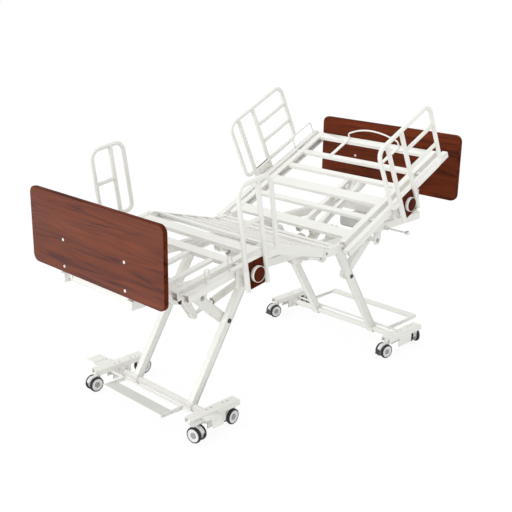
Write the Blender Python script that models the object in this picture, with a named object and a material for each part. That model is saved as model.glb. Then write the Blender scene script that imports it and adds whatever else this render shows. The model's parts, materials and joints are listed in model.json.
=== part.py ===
"""Electric hospital bed: rolling bases, leg-and-link height gear, profiling deck, boards, assist rails.

Metres. +X runs from the foot end to the head end, +Z is up and the floor is z = 0.
The left side of the bed is -Y.
"""
import math

import bmesh
import bpy
from mathutils import Matrix, Vector

# Fits
GAP = 0.0003
WELD = 0.001
SLIDE_FIT = 0.0004
BORE_FIT = 0.0003

# Head and foot boards
BOARD_WIDTH = 0.940
BOARD_HEIGHT = 0.358
BOARD_THICK = 0.022
BOARD_CORNER = 0.036
BOARD_INNER_X = 1.019
FOOTBOARD_RISE = 0.009
HEADBOARD_RISE = 0.095
BOARD_BAR_Y = 0.218
BOARD_BAR_WIDTH = 0.040
BOARD_BAR_THICK = 0.007
FOOT_BAR_LAP = 0.190
HEAD_BAR_LAP = 0.030

# Main frame
MID_X = 0.016
FRAME_Z = 0.654
FRAME_TUBE_HEIGHT = 0.040
FRAME_TUBE_WIDTH = 0.034
FRAME_INNER_Y = 0.224
FRAME_CROSS_WIDTH = 0.030
FRAME_CROSS_SINK = 0.005
FRAME_CROSS_OFFSETS = (-0.756, -0.066, 0.066, 0.724, 0.880)
FRAME_TOP = FRAME_Z + FRAME_TUBE_HEIGHT
FRAME_OUTER_Y = FRAME_INNER_Y + FRAME_TUBE_WIDTH
CROSS_LOW = FRAME_Z + FRAME_CROSS_SINK
CROSS_TOP = FRAME_TOP - FRAME_CROSS_SINK
FOOTBOARD_Z = FRAME_TOP + FOOTBOARD_RISE
HEADBOARD_Z = FRAME_TOP + HEADBOARD_RISE
HANGER_FLARE = 0.006

# Rolling bases
AXLE_OFFSET = 0.683
AXLE_Z = 0.065
AXLE_RADIUS = 0.016
AXLE_SIDES = 16
AXLE_FLANGE_RADIUS = 0.026
AXLE_FLANGE_LENGTH = 0.020
BEAM_TOP = 0.109
BEAM_LENGTH = 0.293
BEAM_WIDTH = 0.054
BEAM_DEPTH = 0.026
BEAM_WALL = 0.004
FOOT_BEAM_Y = 0.346
HEAD_BEAM_Y = 0.403
CHEEK_HALF = 0.056
CHEEK_LOW = 0.037

# Casters
STEM_OFFSET = 0.127
SOCKET_RADIUS = 0.019
STEM_RADIUS = 0.007
WHEEL_RADIUS = 0.0375
WHEEL_WIDTH = 0.018
WHEEL_TRAIL = 0.026
HUB_RECESS = 0.005
WHEEL_SHOULDER = 0.003
WHEEL_AXLE_RADIUS = 0.005
AXLE_CORE = 0.003
FORK_HALF = 0.0100
FORK_TOP = 0.078
FORK_CAP_RADIUS = 0.019
HOOD_HALF = 0.030
HOOD_CHIN = (0.010, 0.014)
HOOD_LOW = (0.018, 0.020)
HOOD_RIM = 0.004
CASTER_TURNS = {
    "foot_left_outer": -80.0,
    "foot_left_inner": 186.0,
    "foot_right_outer": 177.0,
    "foot_right_inner": 4.0,
    "head_left_outer": 62.0,
    "head_left_inner": 171.0,
    "head_right_outer": 12.0,
    "head_right_inner": 168.0,
}

# Brake pedals
PEDAL_Z = 0.084
PEDAL_SHAFT_RADIUS = 0.006
PEDAL_THICK = 0.004
PEDAL_RISE = 0.010
PEDAL_LIP = 0.012
PEDAL_ARM_WIDTH = 0.008
PEDAL_ARM_SETBACK = 0.010
PEDAL_EYE_RADIUS = 0.010
PEDAL_ARM_RADIUS = 0.0075
FOOT_PEDAL_SHAFT = 0.067
FOOT_PEDAL_REACH = (0.121, 0.196)
FOOT_PEDAL_HALF = 0.215
HEAD_PEDAL_SHAFT = 0.031
HEAD_PEDAL_REACH = (0.249, 0.288)
HEAD_PEDAL_HALF = 0.300
TREAD_X = (-0.098, -0.004)
TREAD_WIDTH = 0.041
TREAD_ROOT = FOOT_BEAM_Y + BEAM_WIDTH / 2 - WELD
TREAD_DROP = 0.004
TREAD_CORNER = 0.020
SKIRT_START = -0.074
SKIRT_OUT = 0.016
SKIRT_DROP = 0.038
FLAP_X = (-0.096, -0.013)
FLAP_WIDTH = 0.062
FOLD_WIDTH = 0.013
FOLD_DROP = 0.009

# Legs and links of the height gear
LEG_ANGLE = 58.0
LINK_ANGLE = 41.5
LINK_LENGTH = 0.250
ROLLER_DROP = 0.0123273
LEG_LOWER = (FRAME_Z - ROLLER_DROP - AXLE_Z) / math.sin(math.radians(LEG_ANGLE)) - LINK_LENGTH
LOWERED_TURN = 40.0
LEG_Y = 0.200
LEG_WIDTH = 0.032
LEG_DEPTH = 0.038
SLEEVE_RADIUS = 0.0235
SLEEVE_HALF = 0.020
SLEEVE_LAP = 0.004
LINK_Y = 0.1655
LINK_WIDTH = 0.026
LINK_DEPTH = 0.050
LINK_PIN_RADIUS = 0.009
TORQUE_RADIUS = 0.019
TORQUE_HALF = 0.182
JOURNAL_RADIUS = 0.012
LINK_BRACKET_Y = (0.228, 0.236)
LINK_BRACKET_RADIUS = 0.026
LEVER_LENGTH = 0.186
LEVER_ANGLE = 58.4
LEVER_FLARE = 0.006
ROLLER_RADIUS = 0.007
TRACK_Y = (0.2178, 0.2260)
TRACK_FLOOR_Y = 0.2232
TRACK_MARGIN = 0.020
TRACK_FIT = 0.0010
ROLLER_CLEAR = 0.0007

# Profiling deck: hinge axes run through the middle of the side rails
DECK_RISE = 0.003
DECK_AXIS_Z = FRAME_TOP + DECK_RISE
RAIL_HALF = 0.020
RAIL_Y = (0.365, 0.400)
RAIL_LAP_Y = (RAIL_Y[0] + RAIL_Y[1]) / 2
SOCKET_WALL = 0.003
SOCKET_DEPTH = 0.045
KNUCKLE_CLEAR = 0.024
BAR_W = (0.000, 0.018)
THIGH_AXIS_X = 0.029
BACK_AXIS_X = 0.149
BACK_ANGLE = 25.0
THIGH_ANGLE = 15.3
FOOT_ANGLE = 10.6
BACK_LENGTH = 0.845
THIGH_LENGTH = 0.448
FOOT_LENGTH = 0.521
BACK_BARS = ((0.060, 0.120), (0.221, 0.251), (0.340, 0.400),
             (0.499, 0.529), (0.636, 0.666), (0.800, 0.845))
THIGH_BARS = ((-0.065, -0.035), (-0.150, -0.126), (-0.262, -0.238), (-0.420, -0.355))
FOOT_BARS = ((-0.088, -0.030), (-0.213, -0.163), (-0.521, -0.481))
FOOT_SLATS_Y = (0.130, 0.280)
FOOT_SLAT_WIDTH = 0.030
FOOT_SLAT_W = (0.003, 0.015)
SEAT_BARS = ((0.050, 0.080), (0.098, 0.128))
LIFT_BAR_GAP = 0.045
LIFT_BAR_WIDTH = 0.025
LIFT_BAR_U = (0.062, 0.520)
LIFT_BAR_DEPTH = 0.028
LOOP_RADIUS = 0.0045
LOOP_Y = 0.170
LOOP_U = 0.832
LOOP_RISE = 0.030
LOOP_BOW = 0.044
LOOP_HAUNCH = 0.75
LOOP_BEND = 0.018
LOOP_CROWN = 0.300
LOOP_SINK = 0.003
LOOP_STRIP_U = (0.645, 0.838)
LOOP_STRIP_WIDTH = 0.020
LOOP_STRIP_THICK = 0.004

# Pull-out outer rails
OUTER_Y = (0.427, 0.457)
OUTER_HALF = 0.016
OUTER_BACK_U = (-0.020, 0.861)
OUTER_FOOT_U = (-0.510, -0.090)
BACK_ARMS_U = (0.236, 0.651)
FOOT_ARMS_U = (-0.188, -0.501)
ARM_WIDTH = 0.020
ARM_W = (0.004, 0.014)
ARM_INNER_Y = 0.120
HOOKS_U = (-0.394, -0.260)
HOOK_HEIGHT = 0.078
HOOK_SPAN = 0.024
HOOK_RADIUS = 0.0032
HOOK_BEND = 0.009
HOOK_SINK = 0.006
HOOK_TIP_RISE = 0.030
SIDE_LOOP_U = (0.660, 0.830)
SIDE_LOOP_HEIGHT = 0.090
SIDE_LOOP_BEND = 0.014

# Assist rails: u runs along the section, w stands square to it
GRIP_Y = 0.500
GRIP_RADIUS = 0.011
GRIP_POST_RADIUS = 0.0116
GRIP_RUNG_RADIUS = 0.0098
GRIP_BEND = 0.048
GRIP_LOW_BEND = 0.034
MID_PIVOT = (-0.160, -0.0225)
MID_LEAN = -1.8
MID_POSTS_U = (-0.2185, -0.1015)
MID_END_U = -0.0245
MID_TOP = 0.384
MID_LOW = 0.027
MID_RUNG_W = 0.213
BACK_PIVOT = (0.4275, -0.009)
BACK_POSTS_U = (0.368, 0.487)
BACK_ENDS_U = (0.297, 0.734)
BACK_TOP = 0.384
BACK_LOW = 0.042
BACK_RUNGS_W = (0.160, 0.269)
POST_DROP = 0.062
MOUNT_PLATE_Y = (0.456, 0.465)
MOUNT_BOSS_RADIUS = 0.022
MOUNT_PLATE_U = (-0.086, 0.052)
MOUNT_PLATE_DROP = 0.052
MOUNT_CORNER = 0.010
GRIP_PLATE_Y = (0.4835, 0.4935)
GRIP_PLATE_HALF = 0.060
GRIP_PLATE_LIP = 0.004
GRIP_PLATE_CORNER = 0.008
GRIP_LOOP_ROOT = 0.020
PIVOT_RADIUS = 0.010
PANEL_THICK = 0.006
PANEL_HALF = 0.061
PANEL_CORNER = 0.004
KNOB_RADIUS = 0.0365
KNOB_THICK = 0.019
KNOB_STEM_RADIUS = 0.006
KNOB_BEVEL = 0.004

# Actuators
EYE_RADIUS = 0.016
EYE_HALF = 0.0125
CLEVIS_THICK = 0.006
CLEVIS_RADIUS = 0.015
ANCHOR_DROP = 0.070
GEAR_X = (0.054, 0.100)
GEAR_HALF = 0.025
MOTOR_OFFSET = 0.054
MOTOR_RADIUS = 0.026
MOTOR_X = (0.066, 0.168)
ACTUATOR_TUBE_RADIUS = 0.018
ACTUATOR_BORE_RADIUS = 0.0118
ACTUATOR_ROD_RADIUS = 0.0105
ROD_ENGAGED = 0.040
TUBE_SETBACK = 0.034
ROD_CLEAR = 0.004
HILO_FOOT_Y = -0.060
HILO_HEAD_Y = 0.070
KNEE_Y = 0.070
BACK_Y = -0.100
BACK_ANCHOR_DROP = 0.085
BACK_ANCHOR = (0.120, FRAME_Z - BACK_ANCHOR_DROP)
KNEE_ANCHOR_DROP = 0.115
KNEE_ANCHOR = (0.045, FRAME_Z - KNEE_ANCHOR_DROP)
BACK_LUG = (0.450, -0.030)
KNEE_LUG = (-0.250, -0.090)
LUG_ROOT = (0.020, -0.012)
LUG_ROOT_RADIUS = 0.012
BACK_RANGE = (-25.0, 40.0)
KNEE_RANGE = (-15.3, 14.7)

# Control box and clamp screw
BOX_X = (MID_X + FRAME_CROSS_OFFSETS[3], MID_X + FRAME_CROSS_OFFSETS[4])
BOX_HALF = 0.090
BOX_HEIGHT = 0.058
BOX_BEVEL = 0.012
SCREW_X = 0.691
SCREW_RISE = 0.010
SCREW_Z = FRAME_Z + SCREW_RISE
SCREW_DEPTH = 0.006
SCREW_RADIUS = 0.005
SCREW_TIP_Y = 0.408
SCREW_BOSS_RADIUS = 0.011
SCREW_BOSS_LENGTH = 0.016
STAR_RADIUS = 0.0122
STAR_WAIST = 0.0085
STAR_THICK = 0.016
STAR_POINTS = 5

TUBE_SIDES = 8
ROUND_SIDES = 10
SMALL_SIDES = 6
WHEEL_SIDES = 12

FINISHES = {
    "white_paint": ((0.86, 0.86, 0.83), 0.38, 0.0),
    "mahogany": ((0.22, 0.065, 0.035), 0.42, 0.0),
    "grey_plastic": ((0.42, 0.43, 0.43), 0.50, 0.0),
    "black_rubber": ((0.025, 0.025, 0.027), 0.70, 0.0),
    "black_plastic": ((0.05, 0.05, 0.052), 0.50, 0.0),
    "bright_steel": ((0.62, 0.63, 0.64), 0.28, 1.0),
}


def polar(angle, length=1.0):
    """Point (x, z) at an angle in degrees above +X."""
    return (length * math.cos(math.radians(angle)), length * math.sin(math.radians(angle)))


def turned(origin, tilt, point):
    """World (x, z) of a section point (u, w); tilt lifts the +u end, in degrees."""
    c, s = polar(tilt)
    return (origin[0] + point[0] * c - point[1] * s, origin[1] + point[0] * s + point[1] * c)


def arc(centre, radius, start, end, steps):
    """Points along an arc, angles in degrees."""
    angles = [start + (end - start) * i / steps for i in range(steps + 1)]
    return [(centre[0] + polar(a, radius)[0], centre[1] + polar(a, radius)[1]) for a in angles]


def capsule(a, b, radius_a, radius_b, steps=3):
    """Outline round two circles and their outer tangents."""
    along = math.degrees(math.atan2(b[1] - a[1], b[0] - a[0]))
    flare = math.degrees(math.acos((radius_a - radius_b) / math.dist(a, b)))
    return (arc(a, radius_a, along + flare, along + 360.0 - flare, steps)
            + arc(b, radius_b, along - flare, along + flare, steps))


def rounded_rect(u, v, radius, steps=4):
    """Rectangle outline with rounded corners."""
    corners = ((u[1], v[1], 0), (u[0], v[1], 90), (u[0], v[0], 180), (u[1], v[0], 270))
    points = []
    for cu, cv, start in corners:
        centre = (cu - math.copysign(radius, cu - sum(u) / 2), cv - math.copysign(radius, cv - sum(v) / 2))
        points += arc(centre, radius, start, start + 90, steps)
    return points


def shape(bm):
    """Turn a bmesh into a temporary scene object."""
    bmesh.ops.recalc_face_normals(bm, faces=bm.faces)
    mesh = bpy.data.meshes.new("shape")
    bm.to_mesh(mesh)
    bm.free()
    made = bpy.data.objects.new("shape", mesh)
    bpy.context.scene.collection.objects.link(made)
    return made


def loft(rings, closed=False):
    """Closed body through rings of equal length, capped unless the rings close on themselves."""
    bm = bmesh.new()
    rows = [[bm.verts.new(p) for p in ring] for ring in rings]
    count = len(rows[0])
    pairs = list(zip(rows, rows[1:]))
    if closed:
        pairs.append((rows[-1], rows[0]))
    else:
        bm.faces.new(rows[0][::-1])
        bm.faces.new(rows[-1])
    for low, high in pairs:
        for i in range(count):
            j = (i + 1) % count
            bm.faces.new((low[i], low[j], high[j], high[i]))
    return shape(bm)


def prism(axis, outline, span):
    """Outline pushed along an axis; outline points hold the two other coordinates in order."""
    slot = "XYZ".index(axis)
    rings = []
    for level in span:
        ring = []
        for p in outline:
            point = list(p)
            point.insert(slot, level)
            ring.append(point)
        rings.append(ring)
    return loft(rings)


def block(x, y, z):
    """Box from three ranges."""
    return prism("Z", ((x[0], y[0]), (x[1], y[0]), (x[1], y[1]), (x[0], y[1])), z)


def rod(start, end, radius, sides=ROUND_SIDES):
    """Round bar between two points."""
    start, end = Vector(start), Vector(end)
    turn = Vector((0, 0, 1)).rotation_difference(end - start)
    ring = [turn @ Vector((*polar(360 * (i + 0.5) / sides, radius), 0)) for i in range(sides)]
    return loft([[start + p for p in ring], [end + p for p in ring]])


def bore(start, end, radius, sides=ROUND_SIDES):
    """Round cut that clears a bar of this radius at any turn."""
    return rod(start, end, (radius + BORE_FIT) / math.cos(math.pi / sides), sides)


def spin(profile):
    """Ring body: closed profile of (y, radius) points turned about the Y axis."""
    rings = []
    for i in range(WHEEL_SIDES):
        dx, dz = polar(360 * i / WHEEL_SIDES)
        rings.append([(r * dx, y, r * dz) for y, r in profile])
    return loft(rings, closed=True)


def tube(points, radius, bends, sides=TUBE_SIDES, steps=3):
    """Round tube along a flat path with rounded corners."""
    points = [Vector(p) for p in points]
    normal = (points[1] - points[0]).cross(points[2] - points[1]).normalized()
    path = [(points[0], (points[1] - points[0]).normalized())]
    for i, bend in enumerate(bends, start=1):
        before = (points[i] - points[i - 1]).normalized()
        after = (points[i + 1] - points[i]).normalized()
        angle = before.angle(after)
        start = points[i] - before * bend * math.tan(angle / 2)
        turn_axis = before.cross(after).normalized()
        centre = start + turn_axis.cross(before) * bend
        for k in range(steps + 1):
            turn = Matrix.Rotation(angle * k / steps, 3, turn_axis)
            path.append((centre + turn @ (start - centre), turn @ before))
    path.append((points[-1], (points[-1] - points[-2]).normalized()))
    rings = []
    for centre, along in path:
        side = along.cross(normal)
        ring = []
        for k in range(sides):
            c, s = polar(360 * (k + 0.5) / sides, radius)
            ring.append(centre + side * c + normal * s)
        rings.append(ring)
    return loft(rings)


def paint(name):
    """Material of a finish, made once."""
    found = bpy.data.materials.get(name)
    if found:
        return found
    colour, roughness, metallic = FINISHES[name]
    made = bpy.data.materials.new(name)
    made.use_nodes = True
    surface = made.node_tree.nodes["Principled BSDF"]
    surface.inputs["Base Color"].default_value = (*colour, 1.0)
    surface.inputs["Roughness"].default_value = roughness
    surface.inputs["Metallic"].default_value = metallic
    return made


def pivot(name, location, tilt=0.0, turn=0.0, parent=None):
    """Empty on a joint axis; tilt lifts its +X end, turn swings it about Z, both in degrees."""
    made = bpy.data.objects.new(name, None)
    made.location = location
    made.rotation_euler = (0.0, -math.radians(tilt), math.radians(turn))
    made.parent = parent
    bpy.context.scene.collection.objects.link(made)
    return made


def weld(name, shapes, finish, parent=None, cuts=()):
    """Join shapes into one body, take the cuts out of it and place it under its pivot."""
    body = shapes[0]
    for kind, others in (("UNION", shapes[1:]), ("DIFFERENCE", cuts)):
        for other in others:
            step = body.modifiers.new("step", "BOOLEAN")
            step.operation = kind
            step.solver = "EXACT"
            step.object = other
    bpy.context.view_layer.update()
    view = bpy.context.evaluated_depsgraph_get()
    mesh = bpy.data.meshes.new_from_object(body.evaluated_get(view))
    mesh.name = name
    for used in (*shapes, *cuts):
        bpy.data.objects.remove(used)
    bm = bmesh.new()
    bm.from_mesh(mesh)
    bmesh.ops.remove_doubles(bm, verts=bm.verts, dist=1e-5)
    bmesh.ops.dissolve_degenerate(bm, edges=bm.edges, dist=1e-6)
    bm.to_mesh(mesh)
    bm.free()
    mesh.materials.clear()
    mesh.materials.append(paint(finish))
    made = bpy.data.objects.new(name, mesh)
    made.parent = parent
    bpy.context.scene.collection.objects.link(made)
    return made


def spread(side, low, high):
    """Range of y on one side of the bed."""
    return tuple(sorted((side * low, side * high)))


class HeightGear:
    """Pivot points of the legs and link at one end; way is -1 at the foot and +1 at the head."""

    def __init__(self, way):
        self.way = way
        self.base = (MID_X + way * AXLE_OFFSET, AXLE_Z)
        self.knee = self.step(self.base, LEG_ANGLE, LEG_LOWER)
        self.hanger = self.step(self.knee, 180.0 - LINK_ANGLE, LINK_LENGTH)
        self.roller = self.step(self.knee, LEG_ANGLE, LINK_LENGTH)
        self.lever = self.step(self.hanger, -LEVER_ANGLE, LEVER_LENGTH)
        lowered_knee = self.step(self.hanger, LOWERED_TURN - LINK_ANGLE, LINK_LENGTH)
        self.roller_low = self.step(lowered_knee, LEG_ANGLE - LOWERED_TURN, LINK_LENGTH)
        self.lever_low = self.step(self.hanger, LOWERED_TURN - LEVER_ANGLE, LEVER_LENGTH)

    def step(self, start, angle, length):
        """Point reached from start along an angle that opens toward the middle of the bed."""
        dx, dz = polar(angle, length)
        return (start[0] - self.way * dx, start[1] + dz)


def ends(way):
    """Name of an end of the bed."""
    return "foot" if way < 0 else "head"


def sides():
    """Both sides of the bed with their names."""
    return ((-1, "left"), (1, "right"))


def clevis(centre, root, y, root_radius=CLEVIS_RADIUS):
    """Pair of lug plates from a root point to an actuator eye at centre."""
    plates = []
    for side in (-1, 1):
        face = y + side * (EYE_HALF + SLIDE_FIT)
        outline = capsule(root, centre, root_radius, CLEVIS_RADIUS)
        plates.append(prism("Y", outline, sorted((face, face + side * CLEVIS_THICK))))
    return plates


def build_base(way):
    """Two caster beams joined by the round axle that the legs turn on."""
    beam_y = FOOT_BEAM_Y if way < 0 else HEAD_BEAM_Y
    axle_x = MID_X + way * AXLE_OFFSET
    half = BEAM_WIDTH / 2
    low = BEAM_TOP - BEAM_DEPTH
    inside = BEAM_TOP - BEAM_WALL
    shapes = [rod((axle_x, -beam_y, AXLE_Z), (axle_x, beam_y, AXLE_Z), AXLE_RADIUS, AXLE_SIDES)]
    for side in (-1, 1):
        y = side * beam_y
        channel = ((y - half, low), (y - half + BEAM_WALL, low), (y - half + BEAM_WALL, inside),
                   (y + half - BEAM_WALL, inside), (y + half - BEAM_WALL, low), (y + half, low),
                   (y + half, BEAM_TOP), (y - half, BEAM_TOP))
        shapes.append(prism("X", channel, (axle_x - BEAM_LENGTH / 2, axle_x + BEAM_LENGTH / 2)))
        for wall in (-1, 1):
            face = y + wall * (half - WELD)
            shapes.append(block((axle_x - CHEEK_HALF, axle_x + CHEEK_HALF),
                                sorted((face, face - wall * BEAM_WALL)), (CHEEK_LOW, inside + WELD)))
        flange_start = side * (beam_y - half + BEAM_WALL)
        flange_end = side * (beam_y - half - AXLE_FLANGE_LENGTH)
        shapes.append(rod((axle_x, flange_start, AXLE_Z), (axle_x, flange_end, AXLE_Z), AXLE_FLANGE_RADIUS))
        for along in (-1, 1):
            stem_x = axle_x + along * STEM_OFFSET
            socket_low = low + GAP
            shapes.append(rod((stem_x, y, socket_low), (stem_x, y, inside + WELD), SOCKET_RADIUS))
    cuts = []
    if way < 0:
        shapes += left_tread() + right_tread()
        cuts.append(tread_skirt(PEDAL_THICK, 2 * WELD))
    for side in (-1, 1):
        for along in (-1, 1):
            stem_x = axle_x + along * STEM_OFFSET
            cuts.append(bore((stem_x, side * beam_y, 0), (stem_x, side * beam_y, inside), STEM_RADIUS))
    weld("base_" + ends(way), shapes, "white_paint", cuts=cuts)


def build_caster(way, side, along):
    """Swivel fork between two wheels on one axle."""
    beam_y = FOOT_BEAM_Y if way < 0 else HEAD_BEAM_Y
    place = "outer" if along == way else "inner"
    name = "_".join((ends(way), "left" if side < 0 else "right", place))
    stem_x = MID_X + way * AXLE_OFFSET + along * STEM_OFFSET
    swivel = pivot("swivel_" + name, (stem_x, side * beam_y, 0), turn=CASTER_TURNS[name])
    hood_back = WHEEL_TRAIL - HOOD_HALF
    hood = [(hood_back, FORK_TOP), (hood_back, WHEEL_RADIUS), (WHEEL_TRAIL - HOOD_CHIN[0], HOOD_LOW[0]),
            (WHEEL_TRAIL + HOOD_CHIN[1], HOOD_LOW[1]), (WHEEL_TRAIL + HOOD_HALF, WHEEL_RADIUS)]
    hood += arc((WHEEL_TRAIL, WHEEL_RADIUS), WHEEL_RADIUS + HOOD_RIM, 20, 60, 3)
    hood.append((FORK_CAP_RADIUS, FORK_TOP))
    socket_low = BEAM_TOP - BEAM_DEPTH
    stem_top = BEAM_TOP - BEAM_WALL - GAP
    fork = [prism("Y", hood, (-FORK_HALF, FORK_HALF)),
            rod((0, 0, FORK_TOP - WELD), (0, 0, socket_low), FORK_CAP_RADIUS),
            rod((0, 0, FORK_TOP), (0, 0, stem_top), STEM_RADIUS)]
    axle_bore = bore((WHEEL_TRAIL, -1, WHEEL_RADIUS), (WHEEL_TRAIL, 1, WHEEL_RADIUS),
                     WHEEL_AXLE_RADIUS, SMALL_SIDES)
    weld("caster_fork_" + name, fork, "grey_plastic", swivel, [axle_bore])
    inner = FORK_HALF + BORE_FIT
    outer = inner + WHEEL_WIDTH
    axle = pivot("axle_" + name, (WHEEL_TRAIL, 0, WHEEL_RADIUS), parent=swivel)
    wheels = [rod((0, -outer + HUB_RECESS, 0), (0, outer - HUB_RECESS, 0), WHEEL_AXLE_RADIUS, SMALL_SIDES)]
    for face in (-1, 1):
        profile = [(inner, AXLE_CORE), (inner, WHEEL_RADIUS), (outer, WHEEL_RADIUS - WHEEL_SHOULDER),
                   (outer - HUB_RECESS / 2, AXLE_CORE)]
        wheels.append(spin([(face * y, r) for y, r in profile]))
    weld("wheels_" + name, wheels, "black_rubber", axle)


def build_brake_bar(way, shaft, reach, half):
    """Full-width tread on two arms from a cross shaft between the beams."""
    beam_y = FOOT_BEAM_Y if way < 0 else HEAD_BEAM_Y
    shaft_x = MID_X + way * (AXLE_OFFSET + shaft)
    hinge = pivot("brake_axis_" + ends(way), (shaft_x, 0, PEDAL_Z))
    shaft_half = beam_y - BEAM_WIDTH / 2 - GAP
    near, far = (way * (r - shaft) for r in reach)
    lip = PEDAL_RISE - PEDAL_LIP
    under = PEDAL_RISE - PEDAL_THICK
    tread = [(near, 0), (far, PEDAL_RISE), (far, lip), (far - way * PEDAL_THICK, lip),
             (far - way * PEDAL_THICK, under), (near, -PEDAL_THICK)]
    shapes = [rod((0, -shaft_half, 0), (0, shaft_half, 0), PEDAL_SHAFT_RADIUS, TUBE_SIDES),
              prism("Y", tread, (-half, half))]
    for side in (-1, 1):
        arm_y = side * (half - PEDAL_ARM_WIDTH / 2)
        span = (arm_y - PEDAL_ARM_WIDTH / 2 + WELD, arm_y + PEDAL_ARM_WIDTH / 2 - WELD)
        tip = (far - way * PEDAL_ARM_SETBACK, PEDAL_RISE - PEDAL_ARM_SETBACK)
        outline = capsule((0, 0), tip, PEDAL_EYE_RADIUS, PEDAL_ARM_RADIUS)
        shapes.append(prism("Y", outline, span))
    weld("brake_bar_" + ends(way), shapes, "white_paint", hinge)


def tread_skirt(drop, inset):
    """Sloping skirt body round the outer head-end corner of the left foot tread, lowered by drop."""
    axle_x = MID_X - AXLE_OFFSET
    rings = []
    for grow, fall in ((0, 0), (SKIRT_OUT, SKIRT_DROP)):
        x = (axle_x + SKIRT_START, axle_x + TREAD_X[1] + grow)
        y = (TREAD_ROOT + inset, TREAD_ROOT + TREAD_WIDTH + grow)
        radius = TREAD_CORNER + grow
        outline = [(x[0], y[0]), (x[1], y[0])]
        outline += arc((x[1] - radius, y[1] - radius), radius, 0, 90, 4)
        outline.append((x[0], y[1]))
        level = BEAM_TOP - TREAD_DROP - drop - fall
        rings.append([(px, -py, level) for px, py in outline])
    return loft(rings)


def left_tread():
    """Foot tread on the left foot beam: a flat plate that ends in a sloping skirt."""
    axle_x = MID_X - AXLE_OFFSET
    top = BEAM_TOP - TREAD_DROP
    plate = block((axle_x + TREAD_X[0], axle_x + SKIRT_START + WELD),
                  spread(-1, TREAD_ROOT, TREAD_ROOT + TREAD_WIDTH), (top - PEDAL_THICK, top - WELD / 4))
    return [plate, tread_skirt(0, 0)]


def right_tread():
    """Foot tread on the right foot beam: a plate with one round corner, a fold and a raised flap."""
    axle_x = MID_X - AXLE_OFFSET
    top = BEAM_TOP - TREAD_DROP
    x = tuple(axle_x + offset for offset in TREAD_X)
    edge = TREAD_ROOT + TREAD_WIDTH
    outline = [(x[0], TREAD_ROOT), (x[1], TREAD_ROOT)]
    outline += arc((x[1] - TREAD_CORNER, edge - TREAD_CORNER), TREAD_CORNER, 0, 90, 4)
    outline.append((x[0], edge))
    line = [(edge - 2 * WELD, top - WELD / 4), (edge + FOLD_WIDTH / 2, top - FOLD_DROP),
            (edge + FOLD_WIDTH, top), (edge + FOLD_WIDTH + FLAP_WIDTH, top)]
    folded = line + [(y, z - PEDAL_THICK + WELD / 2) for y, z in reversed(line)]
    return [prism("Z", outline, (top - PEDAL_THICK, top)),
            prism("X", folded, tuple(axle_x + offset for offset in FLAP_X))]


def build_leg(gear, side, label):
    """Rectangular leg: sleeve on the base axle, pivot bore half way, roller pin at the top."""
    name = "leg_" + ends(gear.way) + "_" + label
    foot = pivot("axis_" + name, (gear.base[0], 0, gear.base[1]))
    knee = (gear.knee[0] - gear.base[0], gear.knee[1] - gear.base[1])
    top = (gear.roller[0] - gear.base[0], gear.roller[1] - gear.base[1])
    start = gear.step((0, 0), LEG_ANGLE, SLEEVE_RADIUS - SLEEVE_LAP)
    inner, outer = LEG_Y - LEG_WIDTH / 2, LEG_Y + LEG_WIDTH / 2
    outline = capsule(start, top, LEG_DEPTH / 2 - WELD / 4, LEG_DEPTH / 2)
    tube_body = prism("Y", outline, spread(side, inner, outer))
    sleeve = rod((0, side * (LEG_Y - SLEEVE_HALF), 0), (0, side * (LEG_Y + SLEEVE_HALF), 0), SLEEVE_RADIUS)
    pin_end = side * (TRACK_FLOOR_Y - ROLLER_CLEAR)
    pin = rod((top[0], side * LEG_Y, top[1]), (top[0], pin_end, top[1]), ROLLER_RADIUS)
    axle_bore = bore((0, -1, 0), (0, 1, 0), AXLE_RADIUS, AXLE_SIDES)
    knee_bore = bore((knee[0], -1, knee[1]), (knee[0], 1, knee[1]), LINK_PIN_RADIUS)
    weld(name, [tube_body, sleeve, pin], "white_paint", foot, [axle_bore, knee_bore])


def build_link(gear, lever_y):
    """Torque tube hung under the frame with two arms to the legs and a lever for the actuator."""
    name = "link_" + ends(gear.way)
    hinge = pivot("axis_" + name, (gear.hanger[0], 0, gear.hanger[1]))
    knee = (gear.knee[0] - gear.hanger[0], gear.knee[1] - gear.hanger[1])
    lever = (gear.lever[0] - gear.hanger[0], gear.lever[1] - gear.hanger[1])
    shapes = [rod((0, -TORQUE_HALF, 0), (0, TORQUE_HALF, 0), TORQUE_RADIUS)]
    journal = LINK_BRACKET_Y[1] - WELD
    shapes.append(rod((0, -journal, 0), (0, journal, 0), JOURNAL_RADIUS))
    for side in (-1, 1):
        arm = capsule((0, 0), knee, LINK_DEPTH / 2, LINK_DEPTH / 2 - WELD / 4)
        shapes.append(prism("Y", arm, spread(side, LINK_Y - LINK_WIDTH / 2, LINK_Y + LINK_WIDTH / 2)))
        tip = side * (LEG_Y + LEG_WIDTH / 2 - WELD)
        shapes.append(rod((knee[0], side * LINK_Y, knee[1]), (knee[0], tip, knee[1]), LINK_PIN_RADIUS))
    shapes += clevis(lever, (0, 0), lever_y, TORQUE_RADIUS + LEVER_FLARE)
    weld(name, shapes, "white_paint", hinge)


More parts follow.
